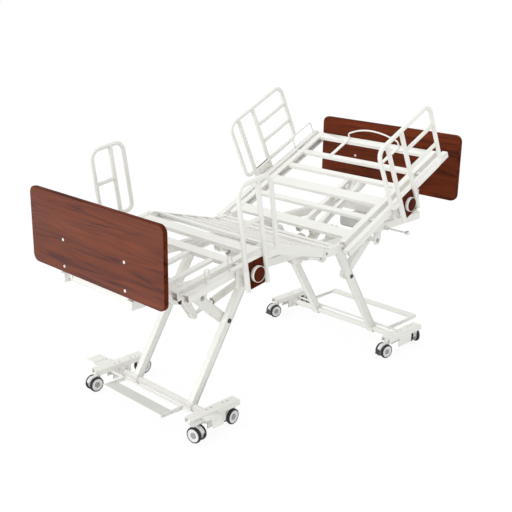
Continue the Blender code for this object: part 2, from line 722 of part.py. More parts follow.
def build_frame(gears):
    """Two side tubes with cross tubes, board bars, link hangers, roller tracks and actuator lugs."""
    bar_outer = BOARD_INNER_X - GAP
    bar_inner = bar_outer - BOARD_BAR_THICK
    tube_end = bar_inner + WELD
    shapes = []
    cuts = []
    for side in (-1, 1):
        span = spread(side, FRAME_INNER_Y, FRAME_OUTER_Y)
        shapes.append(block((-BOARD_INNER_X - BOARD_THICK, tube_end), span, (FRAME_Z, FRAME_TOP)))
    reach = FRAME_INNER_Y + WELD
    crosses = [MID_X + offset for offset in FRAME_CROSS_OFFSETS]
    crosses += [end * (tube_end - FRAME_CROSS_WIDTH / 2 - WELD) for end in (-1, 1)]
    half = FRAME_CROSS_WIDTH / 2
    root_z = (CROSS_LOW + CROSS_TOP) / 2
    for x in crosses:
        shapes.append(block((x - half, x + half), (-reach, reach), (CROSS_LOW, CROSS_TOP)))
    for end, bar_top in ((-1, FOOTBOARD_Z + FOOT_BAR_LAP), (1, HEADBOARD_Z + HEAD_BAR_LAP)):
        for side in (-1, 1):
            inner, outer = BOARD_BAR_Y - BOARD_BAR_WIDTH / 2, BOARD_BAR_Y + BOARD_BAR_WIDTH / 2
            shapes.append(block(spread(end, bar_inner, bar_outer), spread(side, inner, outer),
                                (root_z, bar_top)))
    for gear in gears:
        for side in (-1, 1):
            root_radius = LINK_BRACKET_RADIUS + HANGER_FLARE
            root = (gear.hanger[0], FRAME_TOP - WELD - root_radius)
            hanger = capsule(root, gear.hanger, root_radius, LINK_BRACKET_RADIUS)
            shapes.append(prism("Y", hanger, spread(side, *LINK_BRACKET_Y)))
            radius = ROLLER_RADIUS + TRACK_FIT
            track = capsule(gear.roller, gear.roller_low, TRACK_MARGIN, TRACK_MARGIN)
            shapes.append(prism("Y", track, spread(side, *TRACK_Y)))
            slot = capsule(gear.roller, gear.roller_low, radius, radius, steps=6)
            cuts.append(prism("Y", slot, spread(side, LEG_Y, TRACK_FLOOR_Y)))
            x, z = gear.hanger
            near, far = LINK_BRACKET_Y[0] - WELD, LINK_BRACKET_Y[1] + WELD
            cuts.append(bore((x, side * near, z), (x, side * far, z), JOURNAL_RADIUS))
    foot_cross = MID_X + FRAME_CROSS_OFFSETS[1]
    head_cross = MID_X + FRAME_CROSS_OFFSETS[2]
    anchors = ((anchor_point(-1), foot_cross, HILO_FOOT_Y), (anchor_point(1), head_cross, HILO_HEAD_Y),
               (BACK_ANCHOR, head_cross, BACK_Y), (KNEE_ANCHOR, head_cross, KNEE_Y))
    for centre, root_x, y in anchors:
        shapes += clevis(centre, (root_x, root_z), y, CLEVIS_RADIUS - WELD)
    face = -FRAME_OUTER_Y
    boss = face - SCREW_BOSS_LENGTH
    shapes.append(rod((SCREW_X, face + WELD, SCREW_Z), (SCREW_X, boss, SCREW_Z), SCREW_BOSS_RADIUS))
    cuts.append(bore((SCREW_X, boss - WELD, SCREW_Z), (SCREW_X, face + SCREW_DEPTH, SCREW_Z), SCREW_RADIUS))
    weld("main_frame", shapes, "white_paint", cuts=cuts)


def anchor_point(way):
    """Rear pin of a height actuator under the middle of the frame."""
    offset = FRAME_CROSS_OFFSETS[1] if way < 0 else FRAME_CROSS_OFFSETS[2]
    return (MID_X + offset, FRAME_Z - ANCHOR_DROP)


def build_board(name, end, low):
    """Rounded wooden board at one end."""
    outline = rounded_rect((-BOARD_WIDTH / 2, BOARD_WIDTH / 2), (low, low + BOARD_HEIGHT), BOARD_CORNER)
    board = prism("X", outline, spread(end, BOARD_INNER_X, BOARD_INNER_X + BOARD_THICK))
    weld(name, [board], "mahogany")


def knuckle(u, toward, side, outer_half):
    """Half-lap hinge eye at u on a rail that lies on the toward side of it."""
    low, high = (RAIL_Y[0], RAIL_LAP_Y - SLIDE_FIT / 2)
    if outer_half:
        low, high = (RAIL_LAP_Y + SLIDE_FIT / 2, RAIL_Y[1])
    root = u + toward * (KNUCKLE_CLEAR + 2 * WELD)
    outline = [(root, RAIL_HALF - 2 * WELD), (root, -RAIL_HALF + 2 * WELD)]
    start = 270 if toward > 0 else -90
    outline += arc((u, 0), RAIL_HALF - WELD, start, 90, 6)
    return prism("Y", outline, spread(side, low + WELD / 4, high - WELD / 4))


def section_rails(u, knuckles):
    """Side rails of a deck section with its hinge eyes; knuckles hold (u, toward, outer_half)."""
    shapes = []
    for side in (-1, 1):
        shapes.append(block(u, spread(side, *RAIL_Y), (-RAIL_HALF, RAIL_HALF)))
        for centre, toward, outer_half in knuckles:
            shapes.append(knuckle(centre, toward, side, outer_half))
    return shapes


def open_end(u, inward, y, half):
    """Cuts that leave both rails hollow at their end u; inward points into the rail."""
    reach = sorted((u - inward * WELD, u + inward * SOCKET_DEPTH))
    cuts = []
    for side in (-1, 1):
        span = spread(side, y[0] + SOCKET_WALL, y[1] - SOCKET_WALL)
        cuts.append(block(reach, span, (-half + SOCKET_WALL, half - SOCKET_WALL)))
    return cuts


def cross_bars(ranges):
    """Flat bars from rail to rail."""
    half = RAIL_Y[0] + WELD
    return [block(u, (-half, half), BAR_W) for u in ranges]


def arm_bores(stations):
    """Slots through rails and bar for the arms of the pull-out rails."""
    half = ARM_WIDTH / 2 + SLIDE_FIT
    w = (ARM_W[0] - SLIDE_FIT, ARM_W[1] + SLIDE_FIT)
    return [block((u - half, u + half), (-1, 1), w) for u in stations]


def build_back(axis):
    """Backrest section with the lift bars of its actuator and the mattress stop at the head."""
    shapes = section_rails((KNUCKLE_CLEAR, BACK_LENGTH), ((0, 1, False),))
    shapes += cross_bars(BACK_BARS)
    for way in (-1, 1):
        y = BACK_Y + way * LIFT_BAR_GAP
        span = (y - LIFT_BAR_WIDTH / 2, y + LIFT_BAR_WIDTH / 2)
        shapes.append(block(LIFT_BAR_U, span, (-LIFT_BAR_DEPTH, BAR_W[0] + WELD)))
    shapes += lugs_on(BACK_LUG, BACK_Y, LIFT_BAR_GAP - LIFT_BAR_WIDTH / 2)
    strip_w = (BAR_W[1] - WELD, BAR_W[1] + LOOP_STRIP_THICK)
    shoulder = strip_w[1] + LOOP_RISE
    wire = [(-LOOP_Y, strip_w[1] - LOOP_SINK), (-LOOP_Y, shoulder),
            (-LOOP_Y / 2, shoulder + LOOP_HAUNCH * LOOP_BOW), (0, shoulder + LOOP_BOW)]
    wire += [(-y, w) for y, w in wire[-2::-1]]
    bends = (LOOP_BEND, LOOP_CROWN, LOOP_CROWN, LOOP_CROWN, LOOP_BEND)
    shapes.append(tube([(LOOP_U, y, w) for y, w in wire], LOOP_RADIUS, bends, sides=SMALL_SIDES))
    for side in (-1, 1):
        edge = LOOP_STRIP_WIDTH / 2
        shapes.append(block(LOOP_STRIP_U, spread(side, LOOP_Y - edge, LOOP_Y + edge), strip_w))
    cuts = arm_bores(BACK_ARMS_U) + open_end(BACK_LENGTH, -1, RAIL_Y, RAIL_HALF)
    weld("backrest_section", shapes, "white_paint", axis, cuts)


def lugs_on(centre, y, reach):
    """Lug plates of an actuator eye that bridge out to bars lying reach away on each side."""
    plates = []
    for side in (-1, 1):
        face = y + side * (EYE_HALF + SLIDE_FIT)
        outline = capsule((centre[0] + LUG_ROOT[0], LUG_ROOT[1]), centre, LUG_ROOT_RADIUS, CLEVIS_RADIUS)
        plates.append(prism("Y", outline, sorted((face, y + side * (reach + WELD)))))
    return plates


def build_thigh(axis):
    """Thigh section with the lever of the knee actuator."""
    shapes = section_rails((-THIGH_LENGTH + KNUCKLE_CLEAR, -KNUCKLE_CLEAR),
                           ((0, -1, False), (-THIGH_LENGTH, 1, True)))
    shapes += cross_bars(THIGH_BARS)
    bar = THIGH_BARS[2]
    shapes += clevis(KNEE_LUG, (sum(bar) / 2, (BAR_W[0] + BAR_W[1]) / 2), KNEE_Y, BAR_W[1] / 2 - WELD)
    weld("thigh_section", shapes, "white_paint", axis)


def build_foot(axis):
    """Foot section with lengthwise slats."""
    shapes = section_rails((-FOOT_LENGTH, -KNUCKLE_CLEAR), ((0, -1, False),))
    shapes += cross_bars(FOOT_BARS)
    start, end = FOOT_BARS[2][1] - WELD, FOOT_BARS[1][0] + WELD
    for y in FOOT_SLATS_Y:
        for side in (-1, 1):
            span = spread(side, y - FOOT_SLAT_WIDTH / 2, y + FOOT_SLAT_WIDTH / 2)
            shapes.append(block((start, end), span, FOOT_SLAT_W))
    cuts = arm_bores(FOOT_ARMS_U) + open_end(-FOOT_LENGTH, 1, RAIL_Y, RAIL_HALF)
    weld("foot_section", shapes, "white_paint", axis, cuts)


def build_seat():
    """Fixed seat section: short side rails on two bars that lie across the frame."""
    shapes = []
    length = (THIGH_AXIS_X + KNUCKLE_CLEAR, BACK_AXIS_X - KNUCKLE_CLEAR)
    height = (DECK_AXIS_Z - RAIL_HALF, DECK_AXIS_Z + RAIL_HALF)
    for side in (-1, 1):
        shapes.append(block(length, spread(side, *RAIL_Y), height))
        for centre, toward in ((THIGH_AXIS_X, 1), (BACK_AXIS_X, -1)):
            eye = knuckle(centre, toward, side, True)
            eye.location.z = DECK_AXIS_Z
            shapes.append(eye)
    half = RAIL_Y[0] + WELD
    for x in SEAT_BARS:
        shapes.append(block(x, (-half, half), (FRAME_TOP + GAP, DECK_AXIS_Z + BAR_W[1])))
    weld("seat_section", shapes, "white_paint")


def outer_rail(u, arms, mount, side):
    """Pull-out side rail with its sliding arms and the mount of an assist rail."""
    shapes = [block(u, spread(side, *OUTER_Y), (-OUTER_HALF, OUTER_HALF))]
    for station in arms:
        shapes.append(block((station - ARM_WIDTH / 2, station + ARM_WIDTH / 2),
                            spread(side, ARM_INNER_Y, OUTER_Y[0] + WELD), ARM_W))
    plate_u = tuple(mount[0] + offset for offset in MOUNT_PLATE_U)
    plate_w = (mount[1] - MOUNT_PLATE_DROP, OUTER_HALF - WELD)
    plate = rounded_rect(plate_u, plate_w, MOUNT_CORNER, 2)
    shapes.append(prism("Y", plate, spread(side, *MOUNT_PLATE_Y)))
    for start, end, radius in ((MOUNT_PLATE_Y[1] - WELD, GRIP_PLATE_Y[0] - GAP, MOUNT_BOSS_RADIUS),
                               (MOUNT_PLATE_Y[1], GRIP_PLATE_Y[1] - GAP, PIVOT_RADIUS)):
        shapes.append(rod((mount[0], side * start, mount[1]), (mount[0], side * end, mount[1]), radius))
    return shapes


def build_outer_rails(back_axis, foot_axis):
    """Four pull-out rails; the foot ones carry mattress hooks, the right back one a wire stop."""
    rail_mid = sum(OUTER_Y) / 2
    for side, label in sides():
        y = side * rail_mid
        shapes = outer_rail(OUTER_FOOT_U, FOOT_ARMS_U, MID_PIVOT, side)
        root = OUTER_HALF - HOOK_SINK
        for u in HOOKS_U:
            points = ((u, y, root), (u, y, HOOK_HEIGHT), (u + HOOK_SPAN, y, HOOK_HEIGHT),
                      (u + HOOK_SPAN, y, root + HOOK_TIP_RISE))
            shapes.append(tube(points, HOOK_RADIUS, (HOOK_BEND, HOOK_BEND), sides=SMALL_SIDES, steps=2))
        sockets = open_end(OUTER_FOOT_U[0], 1, OUTER_Y, OUTER_HALF)
        weld("outer_rail_foot_" + label, shapes, "white_paint", foot_axis, sockets)
        shapes = outer_rail(OUTER_BACK_U, BACK_ARMS_U, BACK_PIVOT, side)
        if side > 0:
            points = ((SIDE_LOOP_U[0], y, root), (SIDE_LOOP_U[0], y, SIDE_LOOP_HEIGHT),
                      (SIDE_LOOP_U[1], y, SIDE_LOOP_HEIGHT), (SIDE_LOOP_U[1], y, root))
            bends = (SIDE_LOOP_BEND, SIDE_LOOP_BEND)
            shapes.append(tube(points, HOOK_RADIUS, bends, sides=SMALL_SIDES, steps=2))
        sockets = open_end(OUTER_BACK_U[1], -1, OUTER_Y, OUTER_HALF)
        weld("outer_rail_back_" + label, shapes, "white_paint", back_axis, sockets)


def build_grip(name, axis, side, loops, posts_u, top, rungs):
    """Assist rail: bent tube loops, two posts, rungs and the pivot plate; all relative to the pivot."""
    y = side * GRIP_Y
    low = -POST_DROP
    shapes = []
    for u in posts_u:
        shapes.append(rod((u, y, low), (u, y, top), GRIP_POST_RADIUS, TUBE_SIDES))
    for points, bends in loops:
        shapes.append(tube([(u, y, w) for u, w in points], GRIP_RADIUS, bends))
    for start, end, w in rungs:
        shapes.append(rod((start, y, w), (end, y, w), GRIP_RUNG_RADIUS, TUBE_SIDES))
    plate_u = (posts_u[0] - GRIP_PLATE_LIP, posts_u[1] + GRIP_PLATE_LIP)
    plate = rounded_rect(plate_u, (-GRIP_PLATE_HALF, GRIP_PLATE_HALF), GRIP_PLATE_CORNER, 2)
    shapes.append(prism("Y", plate, spread(side, *GRIP_PLATE_Y)))
    eye = bore((0, 0, 0), (0, y, 0), PIVOT_RADIUS)
    weld("assist_rail_" + name, shapes, "white_paint", axis, [eye])
    inner = (posts_u[0] + GRIP_POST_RADIUS + GAP, posts_u[1] - GRIP_POST_RADIUS - GAP)
    face = GRIP_PLATE_Y[1] + GAP
    outline = rounded_rect(inner, (-PANEL_HALF, PANEL_HALF), PANEL_CORNER, 2)
    panel = prism("Y", outline, spread(side, face, face + PANEL_THICK))
    hole = bore((0, 0, 0), (0, 2 * y, 0), KNOB_STEM_RADIUS, SMALL_SIDES)
    weld("rail_panel_" + name, [panel], "mahogany", axis, [hole])
    start = face + PANEL_THICK + GAP
    end = start + KNOB_THICK
    profile = [(start, AXLE_CORE), (start, KNOB_RADIUS), (end - KNOB_BEVEL, KNOB_RADIUS),
               (end, KNOB_RADIUS - KNOB_BEVEL), (end, AXLE_CORE)]
    knob = [rod((0, side * face, 0), (0, side * (end - WELD), 0), KNOB_STEM_RADIUS, SMALL_SIDES),
            spin([(side * depth, r) for depth, r in profile])]
    weld("rail_knob_" + name, knob, "mahogany", axis)


def build_assist_rails(back_axis, foot_axis):
    """Short rails beside the knees and long rails beside the back, on both sides."""
    for side, label in sides():
        pu, pw = MID_PIVOT
        axis = pivot("rail_axis_mid_" + label, (pu, 0, pw), tilt=MID_LEAN, parent=foot_axis)
        left, right = (u - pu for u in MID_POSTS_U)
        end = MID_END_U - pu
        top, low = MID_TOP - pw, MID_LOW - pw
        loop = [(left, GRIP_LOOP_ROOT), (left, top), (end, top), (end, low), (right, low)]
        build_grip("mid_" + label, axis, side, [(loop, (GRIP_BEND, GRIP_BEND, GRIP_LOW_BEND))],
                   (left, right), top, [(left, right, MID_RUNG_W - pw)])
        pu, pw = BACK_PIVOT
        axis = pivot("rail_axis_back_" + label, (pu, 0, pw), parent=back_axis)
        left, right = (u - pu for u in BACK_POSTS_U)
        first, last = (u - pu for u in BACK_ENDS_U)
        top, low = BACK_TOP - pw, BACK_LOW - pw
        loop = [(left, low), (first, low), (first, top), (last, top), (last, low), (right, low)]
        bends = (GRIP_LOW_BEND, GRIP_BEND, GRIP_BEND, GRIP_LOW_BEND)
        rungs = [(right, last, w - pw) for w in BACK_RUNGS_W]
        build_grip("back_" + label, axis, side, [(loop, bends)], (left, right), top, rungs)


def build_actuator(name, anchor, y, lug, shortest, longest, motor_side):
    """Linear actuator from a rear pin at anchor to a front eye at lug; lengths are eye to eye."""
    length = math.dist(anchor, lug)
    tilt = math.degrees(math.atan2(lug[1] - anchor[1], lug[0] - anchor[0]))
    axis = pivot("axis_" + name, (anchor[0], y, anchor[1]), tilt=tilt)
    tube_end = shortest - TUBE_SETBACK
    rod_start = length - (longest - tube_end) - ROD_ENGAGED
    bore_start = rod_start - (length - shortest) - ROD_CLEAR
    motor_y = motor_side * MOTOR_OFFSET
    gear_y = sorted((-motor_side * GEAR_HALF, motor_y + motor_side * WELD))
    shapes = [rod((0, -EYE_HALF, 0), (0, EYE_HALF, 0), EYE_RADIUS),
              block((0, GEAR_X[0] + WELD), (-EYE_HALF + WELD, EYE_HALF - WELD), (-EYE_HALF, EYE_HALF)),
              block(GEAR_X, gear_y, (-GEAR_HALF, GEAR_HALF)),
              rod((MOTOR_X[0], motor_y, 0), (MOTOR_X[1], motor_y, 0), MOTOR_RADIUS),
              rod((GEAR_X[1] - WELD, 0, 0), (tube_end, 0, 0), ACTUATOR_TUBE_RADIUS)]
    barrel = rod((bore_start, 0, 0), (tube_end + WELD, 0, 0), ACTUATOR_BORE_RADIUS)
    weld("actuator_" + name, shapes, "grey_plastic", axis, [barrel])
    slide = pivot("slide_" + name, (length, 0, 0), parent=axis)
    stem = [rod((rod_start - length, 0, 0), (0, 0, 0), ACTUATOR_ROD_RADIUS),
            rod((0, -EYE_HALF, 0), (0, EYE_HALF, 0), EYE_RADIUS)]
    weld("actuator_rod_" + name, stem, "bright_steel", slide)


def build_actuators(gears):
    """Two height actuators, one for the backrest and one for the knee."""
    for gear, y, motor_side in zip(gears, (HILO_FOOT_Y, HILO_HEAD_Y), (-1, -1)):
        anchor = anchor_point(gear.way)
        build_actuator("height_" + ends(gear.way), anchor, y, gear.lever,
                       math.dist(anchor, gear.lever_low), math.dist(anchor, gear.lever), motor_side)
    back_origin = (BACK_AXIS_X, DECK_AXIS_Z)
    span = [math.dist(BACK_ANCHOR, turned(back_origin, BACK_ANGLE + d, BACK_LUG)) for d in BACK_RANGE]
    build_actuator("back", BACK_ANCHOR, BACK_Y, turned(back_origin, BACK_ANGLE, BACK_LUG), *span, 1)
    thigh_origin = (THIGH_AXIS_X, DECK_AXIS_Z)
    span = [math.dist(KNEE_ANCHOR, turned(thigh_origin, -THIGH_ANGLE - d, KNEE_LUG)) for d in KNEE_RANGE]
    build_actuator("knee", KNEE_ANCHOR, KNEE_Y, turned(thigh_origin, -THIGH_ANGLE, KNEE_LUG), *span, 1)


def build_control_box():
    """Control box hung under two cross tubes at the head end."""
    top = CROSS_LOW - GAP
    low = top - BOX_HEIGHT
    edge = BOX_HALF - BOX_BEVEL
    outline = ((-BOX_HALF, top), (-BOX_HALF, low + BOX_BEVEL), (-edge, low),
               (edge, low), (BOX_HALF, low + BOX_BEVEL), (BOX_HALF, top))
    weld("control_box", [prism("X", outline, BOX_X)], "grey_plastic")


def build_clamp_screw():
    """Star-headed clamp screw on the left side of the frame."""
    axis = pivot("axis_clamp_screw", (SCREW_X, 0, SCREW_Z))
    star = []
    for i in range(2 * STAR_POINTS):
        star.append(polar(180 * i / STAR_POINTS, STAR_RADIUS if i % 2 == 0 else STAR_WAIST))
    start = -FRAME_OUTER_Y + SCREW_DEPTH - GAP
    shapes = [rod((0, start, 0), (0, -SCREW_TIP_Y + WELD, 0), SCREW_RADIUS),
              prism("Y", star, (-SCREW_TIP_Y, -SCREW_TIP_Y + STAR_THICK))]
    weld("clamp_screw", shapes, "black_plastic", axis)


def main():
    for old in list(bpy.data.objects):
        bpy.data.objects.remove(old)
    gears = (HeightGear(-1), HeightGear(1))
    for way in (-1, 1):
        build_base(way)
        for side in (-1, 1):
            for along in (-1, 1):
                build_caster(way, side, along)
    build_brake_bar(-1, FOOT_PEDAL_SHAFT, FOOT_PEDAL_REACH, FOOT_PEDAL_HALF)
    build_brake_bar(1, HEAD_PEDAL_SHAFT, HEAD_PEDAL_REACH, HEAD_PEDAL_HALF)
    for side, label in sides():
        for gear in gears:
            build_leg(gear, side, label)
    build_link(gears[0], HILO_FOOT_Y)
    build_link(gears[1], HILO_HEAD_Y)
    build_frame(gears)
    build_board("footboard", -1, FOOTBOARD_Z)
    build_board("headboard", 1, HEADBOARD_Z)
    build_seat()
    back_axis = pivot("back_axis", (BACK_AXIS_X, 0, DECK_AXIS_Z), tilt=BACK_ANGLE)
    thigh_axis = pivot("thigh_axis", (THIGH_AXIS_X, 0, DECK_AXIS_Z), tilt=-THIGH_ANGLE)
    knee_x, knee_z = turned((THIGH_AXIS_X, DECK_AXIS_Z), -THIGH_ANGLE, (-THIGH_LENGTH, 0))
    foot_axis = pivot("knee_axis", (knee_x, 0, knee_z), tilt=FOOT_ANGLE)
    build_back(back_axis)
    build_thigh(thigh_axis)
    build_foot(foot_axis)
    build_outer_rails(back_axis, foot_axis)
    build_assist_rails(back_axis, foot_axis)
    build_actuators(gears)
    build_control_box()
    build_clamp_screw()


main()
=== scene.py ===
"""Electric hospital bed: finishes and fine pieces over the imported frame.

Metres. +X runs from the foot end to the head end, +Z is up and the left side of the bed is -Y.
"""

import json
import logging
import math
from abc import ABC, abstractmethod
from dataclasses import dataclass, field
from enum import Enum
from typing import Callable, Iterable, Sequence

import bmesh
import bpy
from mathutils import Matrix, Vector


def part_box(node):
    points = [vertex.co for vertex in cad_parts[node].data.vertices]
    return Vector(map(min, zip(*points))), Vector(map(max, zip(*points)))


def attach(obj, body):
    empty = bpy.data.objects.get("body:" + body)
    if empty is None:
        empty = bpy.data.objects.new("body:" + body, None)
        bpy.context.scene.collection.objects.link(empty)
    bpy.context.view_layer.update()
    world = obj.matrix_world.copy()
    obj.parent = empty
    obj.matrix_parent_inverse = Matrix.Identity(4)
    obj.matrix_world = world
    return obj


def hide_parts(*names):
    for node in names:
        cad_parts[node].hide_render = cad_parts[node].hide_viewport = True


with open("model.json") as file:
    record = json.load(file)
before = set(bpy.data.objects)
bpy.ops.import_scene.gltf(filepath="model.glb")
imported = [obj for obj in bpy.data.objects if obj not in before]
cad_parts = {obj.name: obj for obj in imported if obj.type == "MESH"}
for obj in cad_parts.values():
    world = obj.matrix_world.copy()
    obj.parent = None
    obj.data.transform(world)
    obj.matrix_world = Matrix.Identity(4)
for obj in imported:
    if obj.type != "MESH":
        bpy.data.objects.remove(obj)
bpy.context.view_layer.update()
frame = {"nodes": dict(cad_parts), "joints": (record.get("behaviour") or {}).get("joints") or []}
LOG = logging.getLogger("bed")

Point = tuple[float, float]
Triple = tuple[float, float, float]
Socket = bpy.types.NodeSocket
Piece = bpy.types.Object

AXIS_RADIUS = 1e-5
LEAST_CORNER = 0.0005


class Labelled(Enum):
    """Choice whose name also stands in the names of bodies and nodes."""

    @property
    def label(self) -> str:
        """Name as it stands in the frame."""
        return self.name.lower()


class Side(Labelled):
    """Side of the bed, with the sign of its y."""

    LEFT = -1
    RIGHT = 1

    @property
    def out(self) -> Vector:
        """Outward direction."""
        return Vector((0.0, self.value, 0.0))


class End(Labelled):
    """End of the bed, with the sign of its x."""

    FOOT = -1
    HEAD = 1


class Grain(Enum):
    """Direction that a wood grain runs in, as the shares of stretch along x, y and z."""

    ACROSS_BED = (1.0, 0.06, 1.0)
    UPRIGHT = (1.0, 1.0, 0.06)


class Wiring:
    """Node tree with short ways to add its nodes and link them."""

    def __init__(self, tree: bpy.types.NodeTree) -> None:
        """Take the tree that is to be filled."""
        self.tree = tree

    def add(self, kind: str, values: dict[str | int, object], **settings: object) -> bpy.types.Node:
        """Add a node and fill its inputs.

        Args:
            kind: Blender's name of the node type.
            values: input names or places, with a socket to link or a value to set.
            settings: attributes of the node itself.

        Returns:
            The new node.
        """
        node = self.tree.nodes.new(kind)
        for key, value in settings.items():
            setattr(node, key, value)
        self.feed(node, values)
        return node

    def feed(self, node: bpy.types.Node, values: dict[str | int, object]) -> None:
        """Link sockets to a node's inputs, or set the inputs' own values.

        Args:
            node: the node.
            values: input names or places, with a socket to link or a value to set.
        """
        for key, value in values.items():
            if isinstance(value, Socket):
                self.tree.links.new(value, node.inputs[key])
            else:
                node.inputs[key].default_value = value

    def math(self, operation: str, first: Socket | float, second: Socket | float) -> Socket:
        """Result of a sum of two values."""
        return self.add("ShaderNodeMath", {0: first, 1: second}, operation=operation).outputs["Value"]

    def dot(self, first: Socket, second: Socket | Triple) -> Socket:
        """Share of one direction in another."""
        node = self.add("ShaderNodeVectorMath", {0: first, 1: second}, operation="DOT_PRODUCT")
        return node.outputs["Value"]

    def spread(self, factor: Socket, low: Socket | float, high: Socket | float) -> Socket:
        """Value from 0 to 1 stretched to a range of its own."""
        node = self.add("ShaderNodeMapRange", {"Value": factor, "To Min": low, "To Max": high})
        return node.outputs["Result"]

    def seen(self) -> Socket:
        """Value that is 1 for rays from the camera, off a gloss and through see-through parts.

        Returns:
            The value socket.
        """
        path = self.add("ShaderNodeLightPath", {}).outputs
        value = path["Is Camera Ray"]
        for ray in ("Is Glossy Ray", "Is Transmission Ray"):
            value = self.math("MAXIMUM", value, path[ray])
        return value


class Graph(Wiring):
    """Node tree of one material, with its surface shader and object coordinates at hand."""

    def __init__(self, name: str) -> None:
        """Make an empty material.

        Args:
            name: name of the material.
        """
        self.material = bpy.data.materials.new(name)
        self.material.use_nodes = True
        super().__init__(self.material.node_tree)
        self.surface = self.tree.nodes["Principled BSDF"]
        self.coords = self.add("ShaderNodeTexCoord", {}).outputs["Object"]

    def noise(self, scale: float, detail: float, vector: Socket | None = None,
              distortion: float = 0.0) -> Socket:
        """Noise value.

        Args:
            scale: repeats to the metre.
            detail: octaves.
            vector: coordinates, the object's own when left out.
            distortion: how far the noise bends itself.

        Returns:
            The value socket.
        """
        node = self.add("ShaderNodeTexNoise", {"Vector": vector or self.coords, "Scale": scale,
                                               "Detail": detail, "Distortion": distortion})
        return node.outputs["Fac"]

    def ramp(self, factor: Socket, stops: Sequence[tuple[float, Triple]]) -> Socket:
        """Colour ramp over a value.

        Args:
            factor: value from 0 to 1.
            stops: places and colours.

        Returns:
            The colour socket.
        """
        node = self.add("ShaderNodeValToRGB", {"Fac": factor})
        points = node.color_ramp.elements
        while len(points) < len(stops):
            points.new(0.5)
        for point, (place, colour) in zip(points, stops):
            point.position = place
            point.color = (*colour, 1.0)
        return node.outputs["Color"]

    def stretched(self, scale: Triple) -> Socket:
        """Object coordinates with each axis scaled."""
        return self.add("ShaderNodeMapping", {"Vector": self.coords, "Scale": scale}).outputs["Vector"]

    def rounded(self, radius: float) -> Socket:
        """Normal with its sharp edges eased over a radius."""
        return self.add("ShaderNodeBevel", {"Radius": radius}, samples=4).outputs["Normal"]

    def bump(self, height: Socket, strength: float, depth: float, normal: Socket | None = None) -> None:
        """Drive the surface normal with a height.

        Args:
            height: value from 0 to 1.
            strength: share of the effect.
            depth: height of a full step in metres.
            normal: normal to start from.
        """
        values = {"Height": height, "Strength": strength, "Distance": depth}
        if normal:
            values["Normal"] = normal
        self.feed(self.surface, {"Normal": self.add("ShaderNodeBump", values).outputs["Normal"]})


@dataclass(frozen=True)
class Finish(ABC):
    """Surface finish of a piece.

    Attributes:
        name: name of the material.
        slot: material slot of the record that the finish belongs to.
    """

    name: str
    slot: str

    def material(self) -> bpy.types.Material:
        """The material of the finish, made once.

        Returns:
            The material.
        """
        found = bpy.data.materials.get(self.name)
        if found:
            return found
        graph = Graph(self.name)
        self.paint(graph)
        return graph.material

    @abstractmethod
    def paint(self, graph: Graph) -> None:
        """Build the node tree of the finish."""


@dataclass(frozen=True)
class PowderCoat(Finish):
    """Baked powder coat: fine orange peel, faint clouds and a painted highlight that makes edges a little
    lighter.

    Attributes:
        colour: colour of the coat.
        shade: colour where it is thinner.
        rubbed: colour of the painted highlight on the edges.
        edge: radius of eased edges, 0 where the mesh has its own.
        peel: strength of the orange peel.
    """

    colour: Triple
    shade: Triple
    rubbed: Triple
    edge: float = 0.0016
    peel: float = 0.03

    def paint(self, graph: Graph) -> None:
        """Build the node tree of the finish.

        Args:
            graph: the tree.
        """
        coat = graph.ramp(graph.noise(scale=5.0, detail=3.0), ((0.30, self.shade), (0.68, self.colour)))
        eased = graph.rounded(self.edge) if self.edge else None
        if eased:
            # painted highlight: eased edges get a lighter colour
            coat = self.rub(graph, coat, eased)
        gloss = graph.spread(graph.noise(scale=38.0, detail=2.0), low=0.30, high=0.44)
        graph.feed(graph.surface, {"Base Color": coat, "Roughness": gloss, "Specular IOR Level": 0.45})
        graph.bump(graph.noise(scale=520.0, detail=2.0), strength=self.peel, depth=0.0004, normal=eased)

    def rub(self, graph: Graph, coat: Socket, eased: Socket) -> Socket:
        """Coat with a painted highlight that makes its edges lighter.

        Args:
            graph: the tree.
            coat: colour of the coat.
            eased: normal with eased edges.

        Returns:
            The colour socket.
        """
        flat = graph.add("ShaderNodeNewGeometry", {}).outputs["Normal"]
        # painted highlight: where the eased normal turns away from the flat one, the lighter colour is mixed
        # in
        painted_highlight = graph.add("ShaderNodeMapRange", {"Value": graph.dot(eased, flat), "From Min": 0.995,
                                                "From Max": 0.80, "To Min": 0.0, "To Max": 0.55})
        mix = graph.add("ShaderNodeMixRGB", {"Fac": painted_highlight.outputs["Result"], "Color1": coat,
                                             "Color2": (*self.rubbed, 1.0)})
        return mix.outputs["Color"]


@dataclass(frozen=True)
class WoodGrain(Finish):
    """Mahogany laminate: long figure, dark streaks and fine pores under a satin lacquer.

    Attributes:
        light: colour of the pale figure.
        middle: colour between the streaks.
        dark: colour of the streaks.
        grain: direction of the grain.
        figure: repeats of the figure to the metre.
        lacquer: weight of the lacquer.
    """

    light: Triple
    middle: Triple
    dark: Triple
    grain: Grain
    figure: float = 34.0
    lacquer: float = 0.01

    def paint(self, graph: Graph) -> None:
        """Build the node tree of the finish.

        Args:
            graph: the tree.
        """
        along = graph.stretched(self.grain.value)
        figure = graph.noise(self.figure, detail=5.0, vector=along, distortion=1.4)
        colour = graph.ramp(figure, ((0.34, self.dark), (0.46, self.middle), (0.70, self.light)))
        fine = tuple(share if share == 1.0 else share * 0.25 for share in self.grain.value)
        pores = graph.noise(scale=420.0, detail=2.0, vector=graph.stretched(fine))
        drift = graph.noise(self.figure * 0.2, detail=2.0, vector=along)
        shade = graph.math("MULTIPLY", graph.spread(pores, low=0.70, high=1.28),
                           graph.spread(drift, low=0.78, high=1.20))
        tone = graph.add("ShaderNodeVectorMath", {0: colour, "Scale": shade}, operation="SCALE")
        gloss = graph.spread(pores, low=0.48, high=0.36)
        graph.feed(graph.surface, {"Base Color": tone.outputs["Vector"], "Roughness": gloss,
                                   "Specular IOR Level": 0.02, "Coat Weight": self.lacquer,
                                   "Coat Roughness": 0.12})
        graph.bump(pores, strength=0.08, depth=0.0003, normal=graph.rounded(0.0012))


